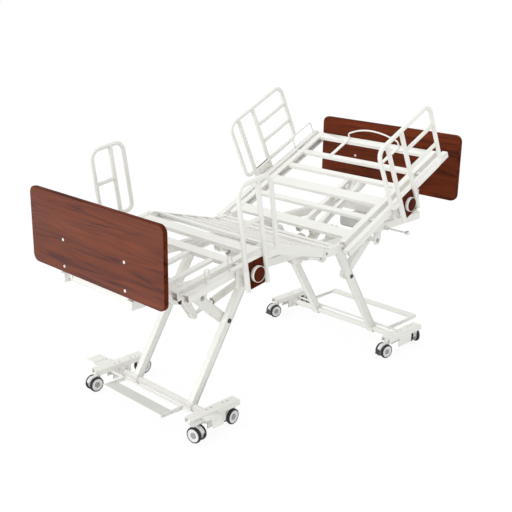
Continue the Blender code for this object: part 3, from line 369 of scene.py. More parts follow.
@dataclass(frozen=True)
class Moulding(Finish):
    """Moulded plastic: fine spark texture and a slight drift of colour.

    Attributes:
        colour: colour of the plastic.
        roughness: its roughness.
        texture: repeats of the spark texture to the metre.
    """

    colour: Triple
    roughness: float = 0.5
    texture: float = 700.0

    def paint(self, graph: Graph) -> None:
        """Build the node tree of the finish.

        Args:
            graph: the tree.
        """
        deep = tuple(0.86 * part for part in self.colour)
        tone = graph.ramp(graph.noise(scale=14.0, detail=3.0), ((0.3, deep), (0.7, self.colour)))
        grit = graph.noise(self.texture, detail=2.0)
        gloss = graph.spread(grit, self.roughness - 0.07, self.roughness + 0.09)
        graph.feed(graph.surface, {"Base Color": tone, "Roughness": gloss})
        graph.bump(grit, strength=0.16, depth=0.0003, normal=graph.rounded(0.0010))


@dataclass(frozen=True)
class Rubber(Finish):
    """Tyre rubber: matt, with dust in its pores.

    Attributes:
        colour: colour of the rubber.
        dust: colour of the dust.
    """

    colour: Triple
    dust: Triple

    def paint(self, graph: Graph) -> None:
        """Build the node tree of the finish.

        Args:
            graph: the tree.
        """
        specks = graph.noise(scale=240.0, detail=4.0)
        tone = graph.ramp(specks, ((0.45, self.colour), (0.85, self.dust)))
        gloss = graph.spread(graph.noise(scale=30.0, detail=2.0), low=0.66, high=0.84)
        graph.feed(graph.surface, {"Base Color": tone, "Roughness": gloss, "Specular IOR Level": 0.15})
        graph.bump(specks, strength=0.25, depth=0.0004)


@dataclass(frozen=True)
class GroundSteel(Finish):
    """Bright ground steel with fine turning marks.

    Attributes:
        colour: colour of the steel.
        stretch: shares of stretch of the marks along x, y and z.
    """

    colour: Triple
    stretch: Triple = (1.0, 1.0, 0.05)

    def paint(self, graph: Graph) -> None:
        """Build the node tree of the finish.

        Args:
            graph: the tree.
        """
        marks = graph.noise(scale=900.0, detail=2.0, vector=graph.stretched(self.stretch))
        pale = tuple(min(1.0, 1.12 * part) for part in self.colour)
        tone = graph.ramp(marks, ((0.35, self.colour), (0.7, pale)))
        gloss = graph.spread(marks, low=0.22, high=0.38)
        graph.feed(graph.surface, {"Base Color": tone, "Roughness": gloss, "Metallic": 1.0})
        graph.bump(marks, strength=0.06, depth=0.0002)


WHITE_PAINT = PowderCoat("white_powder_coat", "white_paint", (0.865, 0.863, 0.820), (0.835, 0.833, 0.786),
                         (0.90, 0.90, 0.87))
TUBE_PAINT = PowderCoat("tube_powder_coat", "white_paint", WHITE_PAINT.colour, WHITE_PAINT.shade,
                        WHITE_PAINT.rubbed, edge=0.0, peel=0.006)
# painted shade: a greyer coat on the step treads and the tread flap, standing in for their shading
TREAD_SHADE_PAINT = PowderCoat("grip_powder_coat", "white_paint", (0.705, 0.705, 0.668), (0.670, 0.670, 0.630),
                        (0.80, 0.80, 0.77))
# painted shade: a darker, warmer tone on the inner faces of the open tube ends
HOLLOW_SHADE = Moulding("open_end_primer", "white_paint", (0.840, 0.760, 0.720), 0.7)
FOOTBOARD_WOOD = WoodGrain("mahogany_footboard", "wood_grain", (0.200, 0.062, 0.037), (0.149, 0.052, 0.036),
                           (0.100, 0.041, 0.035), Grain.ACROSS_BED)
# painted shade: a darker copy of the mahogany, for the headboard that stands farther from the key lamp
SHADED_HEADBOARD_WOOD = WoodGrain("mahogany_headboard", "wood_grain", (0.158, 0.031, 0.010), (0.118, 0.023, 0.008),
                           (0.066, 0.016, 0.008), Grain.ACROSS_BED, lacquer=0.05)
BOARD_EDGE = WoodGrain("mahogany_edge", "wood_grain", (0.143, 0.027, 0.008), (0.091, 0.016, 0.006),
                       (0.036, 0.007, 0.003), Grain.ACROSS_BED, figure=26.0)
PANEL_WOOD = WoodGrain("mahogany_panel", "wood_grain", (0.112, 0.018, 0.004), (0.086, 0.013, 0.003),
                       (0.054, 0.009, 0.003), Grain.UPRIGHT, figure=40.0)
HUB_WHITE = Moulding("hub_white_plastic", "white_paint", (0.82, 0.82, 0.80), 0.42)
CAP_GREY = Moulding("cap_grey_plastic", "grey_plastic", (0.33, 0.33, 0.335), 0.48)
SCREW_GREY = Moulding("screw_grey_zinc", "bright_steel", (0.42, 0.42, 0.40), 0.40)
PALE_GREY = Moulding("housing_pale_grey_plastic", "grey_plastic", (0.66, 0.66, 0.63), 0.50)
CREAM = Moulding("actuator_cream_plastic", "grey_plastic", (0.76, 0.755, 0.70), 0.45)
BLACK_PLASTIC = Moulding("black_plastic", "black_plastic", (0.030, 0.030, 0.032), 0.46)
TYRE = Rubber("tyre_rubber", "tyre_rubber", (0.020, 0.020, 0.021), (0.060, 0.058, 0.055))
STEEL = GroundSteel("ground_steel", "bright_steel", (0.74, 0.74, 0.73))


def polar(angle: float, length: float = 1.0) -> Point:
    """Point at an angle in degrees from the first axis."""
    return (length * math.cos(math.radians(angle)), length * math.sin(math.radians(angle)))


def arc(centre: Point, radius: float, start: float, end: float, steps: int) -> list[Point]:
    """Points along an arc, both ends included; angles are in degrees."""
    turns = (polar(start + (end - start) * i / steps, radius) for i in range(steps + 1))
    return [(centre[0] + a, centre[1] + b) for a, b in turns]


def rounded_rect(u: Point, v: Point, radius: float, steps: int = 6) -> list[Point]:
    """Outline of a rectangle with rounded corners, counter-clockwise.

    Args:
        u: range of the first coordinate.
        v: range of the second coordinate.
        radius: corner radius.
        steps: chords in a corner.

    Returns:
        The points.
    """
    corners = ((u[1] - radius, v[1] - radius, 0), (u[0] + radius, v[1] - radius, 90),
               (u[0] + radius, v[0] + radius, 180), (u[1] - radius, v[0] + radius, 270))
    points: list[Point] = []
    for cu, cv, start in corners:
        points += arc((cu, cv), radius, start, start + 90, steps)
    return points


def joint(name: str) -> dict:
    """The record's joint of that name."""
    return next(row for row in frame["joints"] if row["name"] == name)


def pivot(name: str) -> Vector:
    """Place of the record's joint of that name."""
    return Vector(joint(name)["pos_m"])


def linked(name: str, data: bpy.types.ID) -> Piece:
    """New object in the scene.

    Args:
        name: name of the object.
        data: its mesh, lamp or camera.

    Returns:
        The object.
    """
    thing = bpy.data.objects.new(name, data)
    bpy.context.scene.collection.objects.link(thing)
    return thing


def plain_mesh(holder: Piece) -> bpy.types.Mesh:
    """Mesh of an object as its modifiers leave it; the object itself goes.

    Args:
        holder: object with modifiers.

    Returns:
        The new mesh.
    """
    view = bpy.context.evaluated_depsgraph_get()
    data = bpy.data.meshes.new_from_object(holder.evaluated_get(view))
    bpy.data.objects.remove(holder)
    return data


def flattened(data: bpy.types.Mesh) -> bpy.types.Mesh:
    """Copy of a mesh whose large faces are shaded flat beside eased edges.

    Args:
        data: the mesh.

    Returns:
        The copy.
    """
    holder = linked(data.name + "_flat", data)
    step = holder.modifiers.new("flat", "WEIGHTED_NORMAL")
    step.keep_sharp = True
    step.weight = 100
    return plain_mesh(holder)


def settle(name: str, data: bpy.types.Mesh, body: str, finishes: Sequence[Finish],
           nodes: Iterable[str] = (), smooth: float = 40.0, flats: bool = False) -> Piece:
    """Make a mesh a piece of the bed.

    Args:
        name: name of the piece.
        data: its mesh, in the frame's place.
        body: the CAD body that it rides on.
        finishes: finishes of its material slots.
        nodes: CAD nodes that it stands for.
        smooth: largest angle in degrees that is shaded as round.
        flats: keeps large faces flat.

    Returns:
        The piece.
    """
    data.polygons.foreach_set("use_smooth", [True] * len(data.polygons))
    data.set_sharp_from_angle(angle=math.radians(smooth))
    if flats:
        data = flattened(data)
    if not data.materials:
        for finish in finishes:
            data.materials.append(finish.material())
    piece = linked(name, data)
    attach(piece, body)
    if nodes:
        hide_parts(*nodes)
    LOG.info("%s on %s, %d faces", name, body, len(data.polygons))
    return piece


@dataclass
class Section:
    """Tilted plane of a deck section: u runs along it, w stands square to it.

    Attributes:
        origin: a point of the section's hinge axis.
        tilt: lift of the +u end in degrees.
    """

    origin: Vector
    tilt: float

    def at(self, u: float, y: float, w: float) -> Vector:
        """World point of a place on the section."""
        c, s = polar(self.tilt)
        return Vector((self.origin.x + u * c - w * s, y, self.origin.z + u * s + w * c))

    def turned(self, u: float, y: float, w: float) -> Vector:
        """World direction of a direction on the section."""
        return self.at(u, y, w) - Vector((self.origin.x, 0.0, self.origin.z))

    def place(self, point: Vector) -> Point:
        """Place on the section of a world point.

        Args:
            point: the point.

        Returns:
            Its (u, w).
        """
        c, s = polar(self.tilt)
        dx, dz = point.x - self.origin.x, point.z - self.origin.z
        return (dx * c + dz * s, dz * c - dx * s)


BACK = Section(pivot("backrest"), tilt=25.0)
THIGH = Section(pivot("thigh"), tilt=-15.3)
FOOT = Section(pivot("knee"), tilt=10.6)


@dataclass
class Outline:
    """Rounded rectangle that can be inset, placed by a function of its two coordinates and a depth.

    Attributes:
        u: range of the first coordinate.
        v: range of the second coordinate.
        corner: corner radius.
        put: gives the world point of (u, v, depth).
    """

    u: Point
    v: Point
    corner: float
    put: Callable[[float, float, float], Vector]

    def ring(self, inset: float, depth: float) -> list[Vector]:
        """Points of the outline.

        Args:
            inset: how far it is drawn in.
            depth: depth that it lies at.

        Returns:
            The points.
        """
        u, v = ((low + inset, high - inset) for low, high in (self.u, self.v))
        points = rounded_rect(u, v, max(self.corner - inset, LEAST_CORNER))
        return [self.put(a, b, depth) for a, b in points]


class Shaper:
    """Collects closed forms into one mesh, each form with a finish of its own."""

    DOME: Sequence[Point] = ((1.0, 0.55), (0.6, 0.85))

    def __init__(self, name: str) -> None:
        """Start an empty mesh.

        Args:
            name: name of the piece.
        """
        self.name = name
        self.mesh = bmesh.new()
        self.finishes: list[Finish] = []

    def slot(self, finish: Finish) -> int:
        """Place of a finish among the piece's material slots.

        Args:
            finish: the finish.

        Returns:
            Its number.
        """
        if finish not in self.finishes:
            self.finishes.append(finish)
        return self.finishes.index(finish)

    def loft(self, rings: Sequence[Sequence[Vector]], finish: Finish, closed: bool = False,
             caps: tuple[Finish, Finish] | None = None) -> None:
        """Skin through rings of equal length.

        Args:
            rings: rows of points.
            finish: finish of the skin.
            closed: joins the last ring to the first in place of caps.
            caps: finishes of the first and last cap, the skin's own when left out.
        """
        rows = [[self.mesh.verts.new(p) for p in ring] for ring in rings]
        made: list[bmesh.types.BMFace] = []
        pairs = list(zip(rows, rows[1:]))
        if closed:
            pairs.append((rows[-1], rows[0]))
        count = len(rows[0])
        for low, high in pairs:
            for i in range(count):
                j = (i + 1) % count
                made.append(self.mesh.faces.new((low[i], low[j], high[j], high[i])))
        for face in made:
            face.material_index = self.slot(finish)
        if not closed:
            ends = caps or (finish, finish)
            for row, end in ((rows[0][::-1], ends[0]), (rows[-1], ends[1])):
                face = self.mesh.faces.new(row)
                face.material_index = self.slot(end)
                made.append(face)
        bmesh.ops.recalc_face_normals(self.mesh, faces=made)

    def lathe(self, origin: Vector, axis: Vector, profile: Sequence[Point], finish: Finish,
              sides: int = 36) -> None:
        """Ring body turned about an axis.

        Args:
            origin: point of the axis at depth 0.
            axis: direction of depth.
            profile: closed loop of (depth, radius) points, or an open one from axis to axis.
            finish: finish of the body.
            sides: facets round.
        """
        along = Vector(axis).normalized()
        first = along.orthogonal().normalized()
        second = along.cross(first)
        rings = []
        for i in range(sides):
            c, s = polar(360.0 * i / sides)
            outward = first * c + second * s
            rings.append([origin + along * d + outward * max(r, AXIS_RADIUS) for d, r in profile])
        self.loft(rings, finish, closed=True)

    @staticmethod
    def path(points: Sequence[Vector], bends: Sequence[float], steps: int) -> list[tuple[Vector, Vector]]:
        """Path with rounded corners.

        Args:
            points: corners of the path.
            bends: bend radius at each inner corner.
            steps: chords in a bend.

        Returns:
            Points with their directions.
        """
        path = [(points[0], (points[1] - points[0]).normalized())]
        for i, bend in enumerate(bends, start=1):
            before = (points[i] - points[i - 1]).normalized()
            after = (points[i + 1] - points[i]).normalized()
            angle = before.angle(after)
            start = points[i] - before * bend * math.tan(angle / 2)
            turn_axis = before.cross(after).normalized()
            centre = start + turn_axis.cross(before) * bend
            for k in range(steps + 1):
                turn = Matrix.Rotation(angle * k / steps, 3, turn_axis)
                path.append((centre + turn @ (start - centre), turn @ before))
        path.append((points[-1], (points[-1] - points[-2]).normalized()))
        return path

    def tube(self, points: Sequence[Vector], radius: float, bends: Sequence[float], finish: Finish,
             sides: int = 20, steps: int = 10, dome: float = 0.3) -> None:
        """Round tube along a path with rounded corners and slightly domed ends.

        Args:
            points: corners of the path.
            radius: tube radius.
            bends: bend radius at each inner corner.
            finish: finish of the tube.
            sides: facets round.
            steps: chords in a bend.
            dome: height of the end domes as a share of the radius.
        """
        path = self.path(points, bends, steps)
        last = path[0][1]
        side = last.orthogonal().normalized()
        rings = []
        for place, (centre, along) in enumerate(path):
            side = last.rotation_difference(along) @ side
            last = along
            across = along.cross(side)
            turns = (polar(360.0 * k / sides) for k in range(sides))
            spokes = [(side * c + across * s) * radius for c, s in turns]
            domes = [(along * radius * dome * rise, share) for rise, share in self.DOME]
            if place == 0:
                rings += [[centre - lift + p * share for p in spokes] for lift, share in domes]
            rings.append([centre + p for p in spokes])
            if place == len(path) - 1:
                rings += [[centre + lift + p * share for p in spokes] for lift, share in reversed(domes)]
        self.loft(rings, finish)

    def slab(self, outline: Outline, depth: Point, ease: float, face: Finish, rim: Finish,
             steps: int = 3) -> None:
        """Plate with eased edges.

        Args:
            outline: gives the plate's points at an inset and a depth.
            depth: depths of its two faces.
            ease: radius of the eased edges.
            face: finish of the two faces.
            rim: finish of the edge.
            steps: chords in an eased edge.
        """
        way = math.copysign(1.0, depth[1] - depth[0])
        turns = (polar(90.0 * k / steps, ease) for k in range(steps + 1))
        edge = [(ease - s, way * (ease - c)) for c, s in turns]
        rings = [outline.ring(inset, depth[0] + step) for inset, step in edge]
        rings += [outline.ring(inset, depth[1] - step) for inset, step in reversed(edge)]
        self.loft(rings, rim, caps=(face, face))

    def place(self, body: str, *nodes: str) -> Piece:
        """Turn the mesh into a piece that rides on a body.

        Args:
            body: the CAD body.
            nodes: CAD nodes that the piece stands for.

        Returns:
            The piece.
        """
        data = bpy.data.meshes.new(self.name)
        self.mesh.to_mesh(data)
        self.mesh.free()
        return settle(self.name, data, body, self.finishes, nodes)


@dataclass
class Board:
    """Head or foot board in mahogany grain with a dark edge.

    Attributes:
        end: end of the bed.
        wood: finish of its faces.
        ease: radius of its eased edges.
        corner: corner radius.
    """

    end: End
    wood: Finish
    ease: float = 0.0035
    corner: float = 0.036

    def build(self) -> Piece:
        """Make the board in the place of its solid.

        Returns:
            The piece.
        """
        node = self.end.label + "board"
        low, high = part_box(node)
        shaper = Shaper(node + "_wood")
        outline = Outline((low.y, high.y), (low.z, high.z), self.corner, lambda y, z, x: Vector((x, y, z)))
        shaper.slab(outline, (low.x, high.x), self.ease, self.wood, BOARD_EDGE)
        return shaper.place("frame", node)


@dataclass
class AssistRail:
    """Bent-tube assist rail with its pivot plate, wood panel and release knob.

    Attributes:
        name: place of the rail along the bed.
        side: side of the bed.
        section: plane of the rail about its pivot.
        posts: (u, top w) of the two posts from the pivot.
        loop: corners (u, w) of the bent tube from the pivot.
        bends: bend radii of those corners.
        rungs: (first u, last u, w) of the rungs.
        offset: distance of the tubes from the middle of the bed.
        tube_radius: radius of the bent tube.
        post_radius: radius of the posts.
        rung_radius: radius of the rungs.
        post_drop: reach of the posts below the pivot.
        plate_y: distances of the pivot plate's faces from the middle of the bed.
        plate_half: half the plate's height.
        plate_lip: how far the plate reaches past the posts' middles.
        plate_corner: corner radius of the plate.
        plate_ease: radius of the plate's eased edges.
        panel_y: distances of the wood panel's faces from the middle of the bed.
        panel_half: half the panel's height.
        panel_corner: corner radius of the panel.
        panel_ease: radius of the panel's eased edges.
        panel_gap: gap between panel and posts.
        knob_ring: (distance from the middle of the bed, radius) round the knob's white ring.
        knob_face: the same of its wood face.
        knob_stem: the same of its steel stem.
    """

    name: str
    side: Side
    section: Section
    posts: Sequence[Point]
    loop: Sequence[Point]
    bends: Sequence[float]
    rungs: Sequence[Triple]
    offset: float = 0.500
    tube_radius: float = 0.0110
    post_radius: float = 0.0116
    rung_radius: float = 0.0098
    post_drop: float = 0.062
    plate_y: Point = (0.4835, 0.4935)
    plate_half: float = 0.060
    plate_lip: float = 0.004
    plate_corner: float = 0.008
    plate_ease: float = 0.002
    panel_y: Point = (0.4938, 0.4998)
    panel_half: float = 0.061
    panel_corner: float = 0.004
    panel_ease: float = 0.0015
    panel_gap: float = 0.0003
    knob_ring: Sequence[Point] = (
        (0.5001, 0.0339), (0.5001, 0.0353), (0.5016, 0.0365), (0.5167, 0.0365), (0.5185, 0.0359),
        (0.5191, 0.0351), (0.5187, 0.0343), (0.5171, 0.0339))
    knob_face: Sequence[Point] = (
        (0.5001, 0.0), (0.5001, 0.0341), (0.5169, 0.0341), (0.5175, 0.0325), (0.5181, 0.0))
    knob_stem: Sequence[Point] = ((0.4938, 0.0), (0.4938, 0.006), (0.5151, 0.006), (0.5151, 0.0))

    @property
    def key(self) -> str:
        """End of the names of the rail's bodies and nodes."""
        return self.name + "_" + self.side.label

    def put(self, u: float, w: float, y: float) -> Vector:
        """World point of a place on the rail; y is measured outward."""
        return self.section.at(u, self.side.value * y, w)

    def build(self) -> None:
        """Make the tube work, the panel and the knob."""
        self.build_tubes()
        self.build_panel()
        self.build_knob()

    def build_tubes(self) -> Piece:
        """Posts, bent loop, rungs and pivot plate.

        Returns:
            The piece.
        """
        shaper = Shaper("assist_rail_tubes_" + self.key)
        runs = [([(u, -self.post_drop), (u, top)], self.post_radius, ()) for u, top in self.posts]
        runs.append((self.loop, self.tube_radius, self.bends))
        runs += [([(first, w), (last, w)], self.rung_radius, ()) for first, last, w in self.rungs]
        for corners, radius, bends in runs:
            shaper.tube([self.put(u, w, self.offset) for u, w in corners], radius, bends, TUBE_PAINT)
        reach = (self.posts[0][0] - self.plate_lip, self.posts[1][0] + self.plate_lip)
        outline = Outline(reach, (-self.plate_half, self.plate_half), self.plate_corner, self.put)
        shaper.slab(outline, self.plate_y, self.plate_ease, TUBE_PAINT, TUBE_PAINT)
        return shaper.place("assist_rail_" + self.key, "assist_rail_" + self.key)

    def build_panel(self) -> Piece:
        """Wood panel between the posts.

        Returns:
            The piece.
        """
        shaper = Shaper("rail_panel_wood_" + self.key)
        edge = self.post_radius + self.panel_gap
        reach = (self.posts[0][0] + edge, self.posts[1][0] - edge)
        outline = Outline(reach, (-self.panel_half, self.panel_half), self.panel_corner, self.put)
        shaper.slab(outline, self.panel_y, self.panel_ease, PANEL_WOOD, PANEL_WOOD)
        return shaper.place("assist_rail_" + self.key, "rail_panel_" + self.key)

    def build_knob(self) -> Piece:
        """Release knob: a white ring round a wood face.

        Returns:
            The piece.
        """
        shaper = Shaper("release_knob_" + self.key)
        origin = self.put(0.0, 0.0, 0.0)
        for profile, finish, sides in ((self.knob_ring, WHITE_PAINT, 48), (self.knob_face, PANEL_WOOD, 48),
                                       (self.knob_stem, STEEL, 20)):
            shaper.lathe(origin, self.side.out, profile, finish, sides)
        return shaper.place("rail_knob_" + self.key, "rail_knob_" + self.key)


@dataclass
class Caster:
    """Twin-wheel caster: rubber tyres on white hubs with grey caps.

    Attributes:
        key: end of the names of its bodies and nodes.
        radius: wheel radius.
        inner: distance of the inner wheel face from the fork's middle.
        outer: distance of the outer wheel face.
        axle_radius: radius of the axle.
        axle_lap: reach of the axle into the wheels.
        shoulder: (depth in from the wheel's face, height from the tread) of the tyre's shoulder.
        hub_back: (depth in from the inner face, radius) of the hub.
        hub_dish: (depth from the outer face, radius) across the hub's dish.
        cap: (depth from the outer face, radius) of the hub cap.
    """

    key: str
    radius: float = 0.0375
    inner: float = 0.0103
    outer: float = 0.0283
    axle_radius: float = 0.005
    axle_lap: float = 0.002
    shoulder: Sequence[Point] = (
        (0.0012, -0.0074), (0.0, -0.0056), (0.0006, -0.0030), (0.0030, -0.0008), (0.0065, 0.0))
    hub_back: Sequence[Point] = ((0.0010, 0.0045), (0.0010, 0.0309))
    hub_dish: Sequence[Point] = (
        (-0.0014, 0.0309), (-0.0010, 0.0297), (-0.0022, 0.0279), (-0.0030, 0.0192), (-0.0022, 0.0162),
        (-0.0030, 0.0142), (-0.0040, 0.0045))
    cap: Sequence[Point] = (
        (-0.0042, 0.0), (-0.0042, 0.0148), (-0.0016, 0.0148), (-0.0006, 0.0130), (-0.0001, 0.0070),
        (0.0, 0.0))

    def build(self) -> Piece:
        """Make the wheel pair on its axle.

        Returns:
            The piece.
        """
        row = joint("roll_" + self.key)
        origin, axle = Vector(row["pos_m"]), Vector(row["axis"])
        shaper = Shaper("wheel_pair_" + self.key)
        for way in (-1.0, 1.0):
            self.wheel(shaper, origin, axle * way)
        reach, radius = self.inner + self.axle_lap, self.axle_radius
        core = ((-reach, 0.0), (-reach, radius), (reach, radius), (reach, 0.0))
        shaper.lathe(origin, axle, core, STEEL, 20)
        return shaper.place("wheels_" + self.key, "wheels_" + self.key)

    def wheel(self, shaper: Shaper, origin: Vector, axis: Vector) -> None:
        """One tyre, hub and cap.

        Args:
            shaper: mesh that takes the wheel.
            origin: middle of the axle.
            axis: outward direction.
        """
        tyre = [(self.inner + depth, self.radius + height) for depth, height in self.shoulder]
        tyre += [(self.outer - depth, self.radius + height) for depth, height in reversed(self.shoulder)]
        hub = [(self.inner + depth, radius) for depth, radius in self.hub_back]
        hub += [(self.outer + depth, radius) for depth, radius in self.hub_dish]
        cap = [(self.outer + depth, radius) for depth, radius in self.cap]
        for profile, finish, sides in ((tyre, TYRE, 48), (hub, HUB_WHITE, 48), (cap, CAP_GREY, 32)):
            shaper.lathe(origin, axis, profile, finish, sides)


@dataclass
class CasterPedal:
    """Black brake pedal on the trailing side of a caster fork.

    Attributes:
        key: end of the names of the caster's bodies and nodes.
        line: rings of (distance from the stem, height, half width, half thickness).
        roundness: corner radius as a share of a ring's smaller half.
    """

    key: str
    line: Sequence[tuple[float, float, float, float]] = (
        (0.0500, 0.0500, 0.0080, 0.0035), (0.0640, 0.0435, 0.0080, 0.0035), (0.0655, 0.0400, 0.0130, 0.0033),
        (0.0690, 0.0325, 0.0135, 0.0030), (0.0770, 0.0298, 0.0130, 0.0030), (0.0785, 0.0293, 0.0115, 0.0020))
    roundness: float = 0.8

    def build(self) -> Piece:
        """Make the pedal on its fork.

        Returns:
            The piece.
        """
        stem = pivot("swivel_" + self.key)
        trail = pivot("roll_" + self.key) - stem
        trail.z = 0.0
        trail.normalize()
        across = Vector((-trail.y, trail.x, 0.0))
        rings = []
        for reach, height, half, thick in self.line:
            middle = Vector((stem.x, stem.y, height)) + trail * reach
            outline = rounded_rect((-half, half), (-thick, thick), min(half, thick) * self.roundness, 3)
            rings.append([middle + across * a + Vector((0.0, 0.0, b)) for a, b in outline])
        shaper = Shaper("caster_pedal_" + self.key)
        shaper.loft(rings, BLACK_PLASTIC)
        return shaper.place("caster_fork_" + self.key)


@dataclass
class RestBuffer:
    """Rubber buffer under the foot end of a foot section rail.

    Attributes:
        side: side of the bed.
        u: place along the section.
        y: distance from the middle of the bed.
        top: w of the rail's underside.
        profile: (depth below the rail, radius) of the buffer.
    """

    side: Side
    u: float = -0.500
    y: float = 0.3825
    top: float = -0.0200
    profile: Sequence[Point] = (
        (-0.001, 0.0), (-0.001, 0.011), (0.006, 0.011), (0.009, 0.009), (0.023, 0.007), (0.026, 0.004),
        (0.026, 0.0))

    def build(self) -> Piece:
        """Turn the buffer about its own axis.

        Returns:
            The piece.
        """
        origin = FOOT.at(self.u, self.side.value * self.y, self.top)
        shaper = Shaper("rest_buffer_" + self.side.label)
        shaper.lathe(origin, FOOT.turned(0.0, 0.0, -1.0), self.profile, TYRE, 28)
        return shaper.place("foot")


@dataclass
class TreadFlap:
    """Folded flap at the foot end of the left foot tread, past a groove.

    Attributes:
        line: rings of (x, height over the tread, narrowing at each side), from the tread outward.
        y: range across the bed.
        thick: plate thickness.
        sink: depth of the plate's top below the base's, as a share of the thickness.
        roundness: radius of its long edges as a share of the thickness.
    """

    line: Sequence[Triple] = (
        (-0.7640, 0.0, 0.0), (-0.7676, -0.0030, 0.0), (-0.7700, -0.0060, 0.0), (-0.7724, -0.0030, 0.0),
        (-0.7760, 0.0, 0.0), (-0.8320, -0.0040, 0.0), (-0.8360, -0.0044, 0.0024))
    y: Point = (-0.4040, -0.3760)
    thick: float = 0.0034
    sink: float = 1.2
    roundness: float = 0.4

    def build(self) -> Piece:
        """Make the flap at the level of the tread.

        Returns:
            The piece.
        """
        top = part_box("base_foot")[1].z - self.thick * self.sink
        rings = []
        for x, height, trim in self.line:
            width = (self.y[0] + trim, self.y[1] - trim)
            outline = rounded_rect(width, (-self.thick, 0.0), self.thick * self.roundness, 3)
            rings.append([Vector((x, y, top + height + z)) for y, z in outline])
        shaper = Shaper("tread_flap_left")
        # painted shade: the flap takes the greyer tread coat
        shaper.loft(rings, TREAD_SHADE_PAINT)
        return shaper.place("base_foot")


@dataclass
class OpenEnd:
    """Hollow end of a square tube on a deck section.

    Attributes:
        section: the section.
        u: place of the tube's end.
        y: range of the tube's distance from the middle of the bed.
        half: half its height.
        depth: depth of the hollow.
        wall: distance kept from the tube's outside.
    """

    section: Section
    u: float
    y: Point
    half: float
    depth: float = 0.046
    wall: float = 0.0015

    def holds(self, point: Vector) -> bool:
        """Tell whether a point lies in the hollow.

        Args:
            point: the point.

        Returns:
            True where it does.
        """
        u, w = self.section.place(point)
        across = self.y[0] + self.wall < abs(point.y) < self.y[1] - self.wall
        return across and abs(w) < self.half - self.wall and abs(u - self.u) < self.depth


@dataclass
class SteelWork:
    """Bodies that keep the shape of their solids: merged copies under a coat.

    Attributes:
        bodies: CAD node to CAD body.
        finish: their coat.
        hollows: open tube ends by node, whose inner faces get a darker, warmer tone of painted shade.
        treads: nodes whose flat upper faces are step treads, coated greyer as painted shade.
        tread_level: least z of a tread face's normal.
        tread_area: least area of a tread face.
        merge: distance under which loose corners join.
        smooth: largest angle in degrees that is shaded as round.
    """

    bodies: dict[str, str]
    finish: Finish
    hollows: dict[str, Sequence[OpenEnd]] = field(default_factory=dict)
    treads: Sequence[str] = ()
    tread_level: float = 0.9
    tread_area: float = 5e-4
    merge: float = 2e-5
    smooth: float = 32.0

    def build(self) -> None:
        """Make a copy of each solid."""
        for node, body in self.bodies.items():
            data = self.merged(node)
            finishes = [self.finish]
            if node in self.hollows:
                # painted shade: the faces inside the open ends take the darker tone
                finishes.append(HOLLOW_SHADE)
                self.mark(data, lambda face: any(end.holds(face.center) for end in self.hollows[node]))
            elif node in self.treads:
                # painted shade: the tread faces take the greyer coat
                finishes.append(TREAD_SHADE_PAINT)
                self.mark(data, self.trodden)
            settle(node + "_coated", data, body, finishes, (node,), self.smooth, True)

    def trodden(self, face: bpy.types.MeshPolygon) -> bool:
        """Tell whether a face is a step tread."""
        return face.normal.z > self.tread_level and face.area > self.tread_area

    @staticmethod
    def mark(data: bpy.types.Mesh, choose: Callable[[bpy.types.MeshPolygon], bool]) -> None:
        """Give the second finish to some faces.

        Args:
            data: the mesh.
            choose: test that picks the faces.
        """
        for face in data.polygons:
            if choose(face):
                face.material_index = 1

    def merged(self, node: str) -> bpy.types.Mesh:
        """Copy of a solid with its loose triangles joined.

        Args:
            node: the CAD node.

        Returns:
            The new mesh.
        """
        shape = bmesh.new()
        shape.from_mesh(frame["nodes"][node].data)
        bmesh.ops.remove_doubles(shape, verts=shape.verts, dist=self.merge)
        data = bpy.data.meshes.new(node + "_coated")
        shape.to_mesh(data)
        shape.free()
        return data


@dataclass(frozen=True)
class HeadKind:
    """Kind of fastener head.

    Attributes:
        radius: head radius.
        height: head height.
        sides: facets of the head, 6 for a hexagon.
        finish: finish of the head.
    """

    radius: float
    height: float
    sides: int
    finish: Finish


BOARD_CAP = HeadKind(0.0070, 0.0040, 20, HUB_WHITE)
BOARD_NUT = HeadKind(0.0080, 0.0080, 6, SCREW_GREY)
BEAM_SCREW = HeadKind(0.0042, 0.0010, 16, SCREW_GREY)
BRAKE_EYE_BOLT = HeadKind(0.0068, 0.0040, 6, SCREW_GREY)
BRAKE_ARM_SCREW = HeadKind(0.0032, 0.0020, 6, SCREW_GREY)
LEG_BOLT = HeadKind(0.0110, 0.0070, 24, BLACK_PLASTIC)
HANGER_BOLT = HeadKind(0.0090, 0.0060, 6, SCREW_GREY)
HINGE_BOLT = HeadKind(0.0075, 0.0050, 6, SCREW_GREY)
PLATE_SCREW = HeadKind(0.0032, 0.0016, 14, SCREW_GREY)


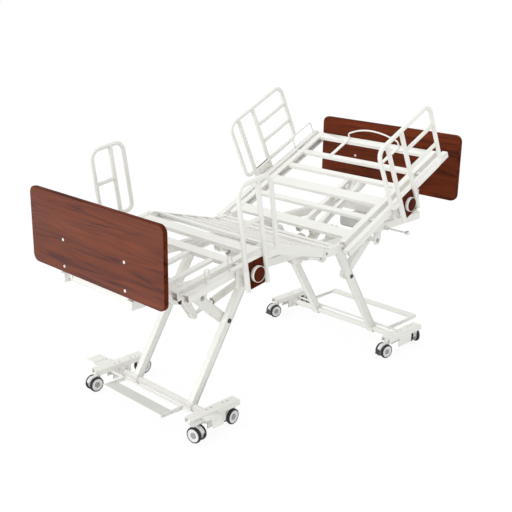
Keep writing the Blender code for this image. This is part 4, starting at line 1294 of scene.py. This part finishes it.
@dataclass
class FastenerSet:
    """Heads of one kind on one body, set out by a node tree from points and their outward directions.

    Attributes:
        name: name of the piece.
        body: CAD body that carries them.
        places: points with outward directions.
        kind: kind of head.
        crown_height: height of the crown as a share of the head's.
        crown_top: radius of the crown's top as a share of the head's.
        smooth: largest angle in degrees that is shaded as round.
    """

    name: str
    body: str
    places: Sequence[tuple[Vector, Vector]]
    kind: HeadKind
    crown_height: float = 0.45
    crown_top: float = 0.62
    smooth: float = 35.0

    def build(self) -> Piece:
        """Set the heads out and turn them into a plain mesh.

        Returns:
            The piece.
        """
        seeds = bpy.data.meshes.new(self.name + "_seeds")
        seeds.from_pydata([tuple(point) for point, _ in self.places], [], [])
        aim = seeds.attributes.new("aim", "FLOAT_VECTOR", "POINT")
        for row, (_, way) in zip(aim.data, self.places):
            row.vector = way
        holder = linked(self.name + "_seeds", seeds)
        step = holder.modifiers.new("heads", "NODES")
        step.node_group = self.tree()
        sizes = {"Radius": self.kind.radius, "Height": self.kind.height, "Sides": self.kind.sides}
        for item in step.node_group.interface.items_tree:
            if item.name in sizes:
                step[item.identifier] = sizes[item.name]
        data = plain_mesh(holder)
        data.name = self.name
        return settle(self.name, data, self.body, (self.kind.finish,), smooth=self.smooth)

    def tree(self) -> bpy.types.GeometryNodeTree:
        """Node tree that stands a crowned head on each point, along its aim.

        Returns:
            The tree, with inputs for radius, height and sides.
        """
        tree = bpy.data.node_groups.new(self.name + "_heads", "GeometryNodeTree")
        inputs = {"Geometry": "Geometry", "Radius": "Float", "Height": "Float", "Sides": "Int"}
        for name, kind in inputs.items():
            tree.interface.new_socket(name, in_out="INPUT", socket_type="NodeSocket" + kind)
        tree.interface.new_socket("Geometry", in_out="OUTPUT", socket_type="NodeSocketGeometry")
        wiring = Wiring(tree)
        given = wiring.add("NodeGroupInput", {}).outputs
        radius, height, sides = given["Radius"], given["Height"], given["Sides"]
        shank = wiring.add("GeometryNodeMeshCylinder", {"Vertices": sides, "Radius": radius, "Depth": height})
        crown = wiring.add("GeometryNodeMeshCone", {
            "Vertices": sides, "Radius Bottom": radius,
            "Radius Top": wiring.math("MULTIPLY", radius, self.crown_top),
            "Depth": wiring.math("MULTIPLY", height, self.crown_height)})
        lift = wiring.add("ShaderNodeCombineXYZ", {"Z": wiring.math("MULTIPLY", height, 0.5)})
        raised = wiring.add("GeometryNodeTransform", {"Geometry": crown.outputs["Mesh"],
                                                      "Translation": lift.outputs["Vector"]})
        head = wiring.add("GeometryNodeJoinGeometry", {"Geometry": shank.outputs["Mesh"]})
        wiring.feed(head, {"Geometry": raised.outputs["Geometry"]})
        aim = wiring.add("GeometryNodeInputNamedAttribute", {"Name": "aim"}, data_type="FLOAT_VECTOR")
        turn = wiring.add("FunctionNodeAlignRotationToVector", {"Vector": aim.outputs["Attribute"]}, axis="Z")
        heads = wiring.add("GeometryNodeInstanceOnPoints", {
            "Points": given["Geometry"], "Instance": head.outputs["Geometry"],
            "Rotation": turn.outputs["Rotation"]})
        real = wiring.add("GeometryNodeRealizeInstances", {"Geometry": heads.outputs["Instances"]})
        coat = wiring.add("GeometryNodeSetMaterial", {"Geometry": real.outputs["Geometry"],
                                                      "Material": self.kind.finish.material()})
        wiring.add("NodeGroupOutput", {"Geometry": coat.outputs["Geometry"]})
        return tree


@dataclass
class Fastening:
    """Places of the bed's screws, bolts, nuts and caps.

    Attributes:
        board_y: distance of the board bolts from the middle of the bed.
        board_rises: heights of the board bolts over a board's lower edge.
        nut_stand: distance of the nuts from the footboard.
        beams: end, x of the axle and distance of the caster beams from the middle of the bed.
        beam_inset: distance of the screws from a beam's middle line.
        beam_shifts: places of the screws along a beam, from the axle.
        brake_y: distance of the brake arms' outer faces from the middle of the bed.
        brake_spots: name, head and (x, z) places on a brake arm, from its shaft.
        leg_pivots: end and joint at the middle of its legs.
        leg_y: distance of the legs' outer faces from the middle of the bed.
        hanger_y: the same of the link hangers.
        hinge_y: the same of the deck's side rails.
        plate_u: distance of the plate screws from a rail's pivot, along the deck.
        plate_w: the same, square to the deck.
    """

    board_y: float = 0.218
    board_rises: Point = (0.029, 0.153)
    nut_stand: float = 0.0073
    beams: Sequence[tuple[End, float, float]] = ((End.FOOT, -0.667, 0.346), (End.HEAD, 0.699, 0.403))
    beam_inset: float = 0.009
    beam_shifts: Sequence[float] = (-0.032, -0.003, 0.068, 0.097)
    brake_y: float = 0.2140
    brake_spots: Sequence[tuple[str, HeadKind, Sequence[Point]]] = (
        ("brake_eye_bolts", BRAKE_EYE_BOLT, ((0.0, 0.0),)),
        ("brake_arm_screws", BRAKE_ARM_SCREW, ((-0.066, -0.0010), (-0.108, -0.0010))))
    leg_pivots: Sequence[tuple[End, str]] = (
        (End.FOOT, "height_leg_foot_left"), (End.HEAD, "height_link_head"))
    leg_y: float = 0.2160
    hanger_y: float = 0.2360
    hinge_y: float = 0.4000
    plate_u: float = 0.038
    plate_w: float = 0.046

    def sets(self) -> list[FastenerSet]:
        """Every set but the assist rails'."""
        return self.board_bolts() + self.base_screws() + self.gear_bolts()

    def board_bolts(self) -> list[FastenerSet]:
        """Caps on the boards' outer faces and the headboard's inner face, nuts behind the footboard.

        Returns:
            The sets.
        """
        foot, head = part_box("footboard"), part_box("headboard")
        footward, headward = Vector((-1, 0, 0)), Vector((1, 0, 0))
        caps, nuts = [], []
        for y in (-self.board_y, self.board_y):
            for rise in self.board_rises:
                caps.append((Vector((foot[0].x, y, foot[0].z + rise)), footward))
                caps.append((Vector((head[1].x, y, head[0].z + rise)), headward))
                nuts.append((Vector((foot[1].x + self.nut_stand, y, foot[0].z + rise)), headward))
            caps.append((Vector((head[0].x, y, head[0].z + self.board_rises[1])), footward))
        return [FastenerSet("board_bolt_caps", "frame", caps, BOARD_CAP),
                FastenerSet("board_bolt_nuts", "frame", nuts, BOARD_NUT)]

    def base_screws(self) -> list[FastenerSet]:
        """Countersunk screws on the tops of the caster beams, and the bolts of the brake arms.

        Returns:
            The sets.
        """
        sets = []
        for end, axle, beam in self.beams:
            body = "base_" + end.label
            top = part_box(body)[1].z
            places = [(Vector((axle + shift, side.value * (beam - self.beam_inset), top)), Vector((0, 0, 1)))
                      for side in Side for shift in self.beam_shifts]
            sets.append(FastenerSet("beam_screws_" + end.label, body, places, BEAM_SCREW))
        shaft = pivot("brake_foot")
        for name, kind, spots in self.brake_spots:
            places = self.paired([(shaft.x + x, shaft.z + z) for x, z in spots], self.brake_y)
            sets.append(FastenerSet(name, "brake_bar_foot", places, kind))
        return sets

    def gear_bolts(self) -> list[FastenerSet]:
        """Pivot bolts of the legs, hangers and deck hinges.

        Returns:
            The sets.
        """
        sets = []
        for end, name in self.leg_pivots:
            middle = pivot(name)
            for side, place in zip(Side, self.paired([(middle.x, middle.z)], self.leg_y)):
                leg = f"leg_{end.label}_{side.label}"
                sets.append(FastenerSet("pivot_bolt_" + leg, leg, [place], LEG_BOLT))
        hangers = [pivot("height_link_foot"), pivot("height_frame")]
        for name, body, points, y, kind in (
                ("hanger_bolts", "frame", hangers, self.hanger_y, HANGER_BOLT),
                ("hinge_bolts_seat", "frame", [BACK.origin, THIGH.origin], self.hinge_y, HINGE_BOLT),
                ("hinge_bolts_knee", "thigh", [FOOT.origin], self.hinge_y, HINGE_BOLT)):
            sets.append(FastenerSet(name, body, self.paired([(p.x, p.z) for p in points], y), kind))
        return sets

    def plate_screws(self, rail: AssistRail) -> FastenerSet:
        """Screws on the inner face of an assist rail's pivot plate.

        Args:
            rail: the assist rail.

        Returns:
            The set.
        """
        spots = [(u, w) for u in (-self.plate_u, self.plate_u) for w in (-self.plate_w, self.plate_w)]
        places = [(rail.put(u, w, rail.plate_y[0]), -rail.side.out) for u, w in spots]
        return FastenerSet("plate_screws_" + rail.key, "assist_rail_" + rail.key, places, PLATE_SCREW)

    @staticmethod
    def paired(spots: Sequence[Point], y: float) -> list[tuple[Vector, Vector]]:
        """Places on both sides of the bed, facing outward, for (x, z) spots at a distance y."""
        return [(Vector((x, side.value * y, z)), side.out) for side in Side for x, z in spots]


@dataclass
class Studio:
    """Pale floor, soft lamps and the camera.

    Attributes:
        position: place of the camera.
        heading: direction of view in degrees from +X.
        dip: angle of view below level in degrees.
        lens: focal length in millimetres.
        sensor: width of the sensor in millimetres.
        shift: sideways shift of the frame.
        clip: nearest and farthest distance seen.
        floor_reach: half the floor's width.
        floor_tones: the floor's two greys.
        floor_glow: the floor's own light, for rays that see it.
        floor_share: share of that light against the shadow.
        lamps: name, place, target, size and power of each soft box.
        dim_side: direction in which the surround is dimmest.
        bright_level: light of the surround away from that side.
        dim_level: its light in the middle of that side.
    """

    position: Triple = (-3.1318, -2.9676, 2.0011)
    heading: float = 46.54
    dip: float = 18.037
    lens: float = 62.508
    sensor: float = 36.0
    shift: float = 0.078125
    clip: Point = (0.1, 100.0)
    floor_reach: float = 40.0
    floor_tones: Point = (0.88, 0.90)
    floor_glow: float = 1.03
    floor_share: float = 0.88
    lamps: Sequence[tuple[str, Triple, Triple, float, float]] = (
        ("key_lamp", (-16.0, 1.7, 2.8), (-0.1, 0.0, 0.5), 7.0, 780.0),
        ("fill_lamp", (3.6, -4.6, 1.6), (0.9, 0.0, 0.4), 4.0, 24.0),
        ("top_lamp", (-1.2, -1.0, 6.0), (-0.4, 0.0, 0.3), 4.0, 16.0),
    )
    dim_side: Triple = (0.6, -0.8, 0.0)
    bright_level: float = 1.06
    dim_level: float = 0.60

    def build(self) -> None:
        """Set up the camera, the floor, the world and the lamps."""
        bpy.context.scene.view_settings.view_transform = "Standard"
        self.build_camera()
        self.build_floor()
        self.build_world()
        for lamp in self.lamps:
            self.build_lamp(*lamp)

    @staticmethod
    def aim(thing: Piece, place: Triple, way: Vector) -> None:
        """Put a camera or lamp in its place, facing a direction.

        Args:
            thing: the camera or lamp.
            place: its place.
            way: direction that it faces.
        """
        thing.location = place
        thing.rotation_mode = "QUATERNION"
        thing.rotation_quaternion = way.to_track_quat("-Z", "Y")

    def build_camera(self) -> None:
        """Camera at the photograph's viewing angle."""
        data = bpy.data.cameras.new("camera")
        data.lens, data.sensor_width, data.shift_x = self.lens, self.sensor, self.shift
        data.clip_start, data.clip_end = self.clip
        camera = linked("camera", data)
        flat, drop = polar(self.dip)
        c, s = polar(self.heading, flat)
        self.aim(camera, self.position, Vector((c, s, -drop)))
        bpy.context.scene.camera = camera

    def build_floor(self) -> None:
        """Pale floor that reads as white and keeps a soft shadow of the bed."""
        data = bpy.data.meshes.new("floor")
        reach = self.floor_reach
        corners = [(-reach, -reach, 0), (reach, -reach, 0), (reach, reach, 0), (-reach, reach, 0)]
        data.from_pydata(corners, [], [(0, 1, 2, 3)])
        floor = linked("floor", data)
        graph = Graph("studio_floor")
        low, high = ((tone, tone, tone) for tone in self.floor_tones)
        tone = graph.ramp(graph.noise(scale=0.8, detail=2.0), ((0.2, low), (0.8, high)))
        graph.feed(graph.surface, {"Base Color": tone, "Roughness": 0.9, "Specular IOR Level": 0.0})
        light = graph.add("ShaderNodeEmission", {"Strength": self.floor_glow})
        share = graph.math("MULTIPLY", graph.seen(), self.floor_share)
        blend = graph.add("ShaderNodeMixShader", {"Fac": share, 1: graph.surface.outputs["BSDF"],
                                                  2: light.outputs["Emission"]})
        graph.feed(graph.tree.nodes["Material Output"], {"Surface": blend.outputs["Shader"]})
        data.materials.append(graph.material)

    def build_world(self) -> None:
        """Soft surround: white to the eye, dimmer as light on one side."""
        world = bpy.data.worlds.new("surround")
        bpy.context.scene.world = world
        world.use_nodes = True
        wiring = Wiring(world.node_tree)
        around = wiring.add("ShaderNodeTexCoord", {}).outputs["Generated"]
        light = wiring.spread(wiring.dot(around, self.dim_side), self.bright_level, self.dim_level)
        level = wiring.spread(wiring.seen(), light, 1.0)
        wiring.feed(world.node_tree.nodes["Background"], {"Color": (1.0, 1.0, 1.0, 1.0), "Strength": level})

    def build_lamp(self, name: str, place: Triple, target: Triple, size: float, power: float) -> None:
        """Square soft box.

        Args:
            name: name of the lamp.
            place: where it hangs.
            target: point that it faces.
            size: edge of the square.
            power: watts.
        """
        data = bpy.data.lights.new(name, "AREA")
        data.size, data.energy = size, power
        self.aim(linked(name, data), place, Vector(target) - Vector(place))


def assist_rails() -> list[AssistRail]:
    """The four assist rails, two on each side.

    Returns:
        The rails.
    """
    rails = []
    for side in Side:
        plane = Section(pivot("swing_mid_" + side.label), FOOT.tilt - 1.8)
        left, right, end, top, low = -0.0585, 0.0585, 0.1355, 0.4065, 0.0495
        rails.append(AssistRail(
            "mid", side, plane, posts=((left, 0.030), (right, top)),
            loop=((left, 0.020), (left, top), (end, top), (end, low), (right, low)),
            bends=(0.048, 0.048, 0.034), rungs=((left, right, 0.2355),)))
        plane = Section(pivot("swing_back_" + side.label), BACK.tilt)
        left, right, first, last, top, low = -0.0595, 0.0595, -0.1305, 0.3065, 0.393, 0.051
        rails.append(AssistRail(
            "back", side, plane, posts=((left, top), (right, top)),
            loop=((left, low), (first, low), (first, top), (last, top), (last, low), (right, low)),
            bends=(0.034, 0.048, 0.048, 0.034), rungs=((right, last, 0.169), (right, last, 0.278))))
    return rails


def caster_keys() -> list[str]:
    """Ends of the casters' names."""
    corners = [f"{end.label}_{side.label}" for end in End for side in Side]
    return [f"{corner}_{place}" for corner in corners for place in ("outer", "inner")]


def painted_nodes() -> dict[str, str]:
    """CAD nodes in white paint that keep their shape.

    Returns:
        Their bodies by node.
    """
    nodes = {"main_frame": "frame", "seat_section": "frame", "backrest_section": "backrest",
             "foot_section": "foot"}
    alike = []
    for end in End:
        alike += [part + end.label for part in ("base_", "link_", "brake_bar_")]
        alike += [f"leg_{end.label}_{side.label}" for side in Side]
    alike += [f"outer_rail_{part}_{side.label}" for side in Side for part in ("foot", "back")]
    return {**nodes, **{name: name for name in alike}}


def plain_nodes() -> dict[Finish, dict[str, str]]:
    """Other CAD nodes that keep their shape.

    Returns:
        Their bodies by finish and node.
    """
    actuators = ("height_foot", "height_head", "back", "knee")
    housings = ["actuator_" + name for name in actuators]
    rods = ["actuator_rod_" + name for name in actuators]
    forks = ["caster_fork_" + key for key in caster_keys()]
    return {TUBE_PAINT: {"thigh_section": "thigh"},
            CREAM: {name: name for name in housings},
            HUB_WHITE: {name: name for name in forks},
            STEEL: {name: name for name in (*rods, "clamp_screw")},
            PALE_GREY: {"control_box": "frame"}}


def hollow_ends() -> dict[str, Sequence[OpenEnd]]:
    """Open tube ends of the deck.

    Returns:
        The ends by CAD node.
    """
    inner, outer = (0.365, 0.400), (0.427, 0.457)
    inner_half, outer_half = 0.020, 0.016
    ends = {"backrest_section": [OpenEnd(BACK, 0.845, inner, inner_half)],
            "foot_section": [OpenEnd(FOOT, -0.521, inner, inner_half)]}
    for side in Side:
        ends["outer_rail_back_" + side.label] = [OpenEnd(BACK, 0.861, outer, outer_half)]
        ends["outer_rail_foot_" + side.label] = [OpenEnd(FOOT, -0.510, outer, outer_half)]
    return ends


def main() -> None:
    """Build the studio and the pieces in order."""
    logging.basicConfig(level=logging.INFO, format="%(message)s")
    Studio().build()
    fastening = Fastening()
    # the headboard's wood is made darker by painted shade
    for end, wood in ((End.FOOT, FOOTBOARD_WOOD), (End.HEAD, SHADED_HEADBOARD_WOOD)):
        Board(end, wood).build()
    for rail in assist_rails():
        rail.build()
        fastening.plate_screws(rail).build()
    for key in caster_keys():
        Caster(key).build()
        if key.endswith("inner"):
            CasterPedal(key).build()
    for side in Side:
        RestBuffer(side).build()
    TreadFlap().build()
    SteelWork(painted_nodes(), WHITE_PAINT, hollow_ends(), treads=("brake_bar_foot",)).build()
    for finish, nodes in plain_nodes().items():
        SteelWork(nodes, finish).build()
    for heads in fastening.sets():
        heads.build()
    LOG.info("boxes noted")


if __name__ == "__main__":
    main()
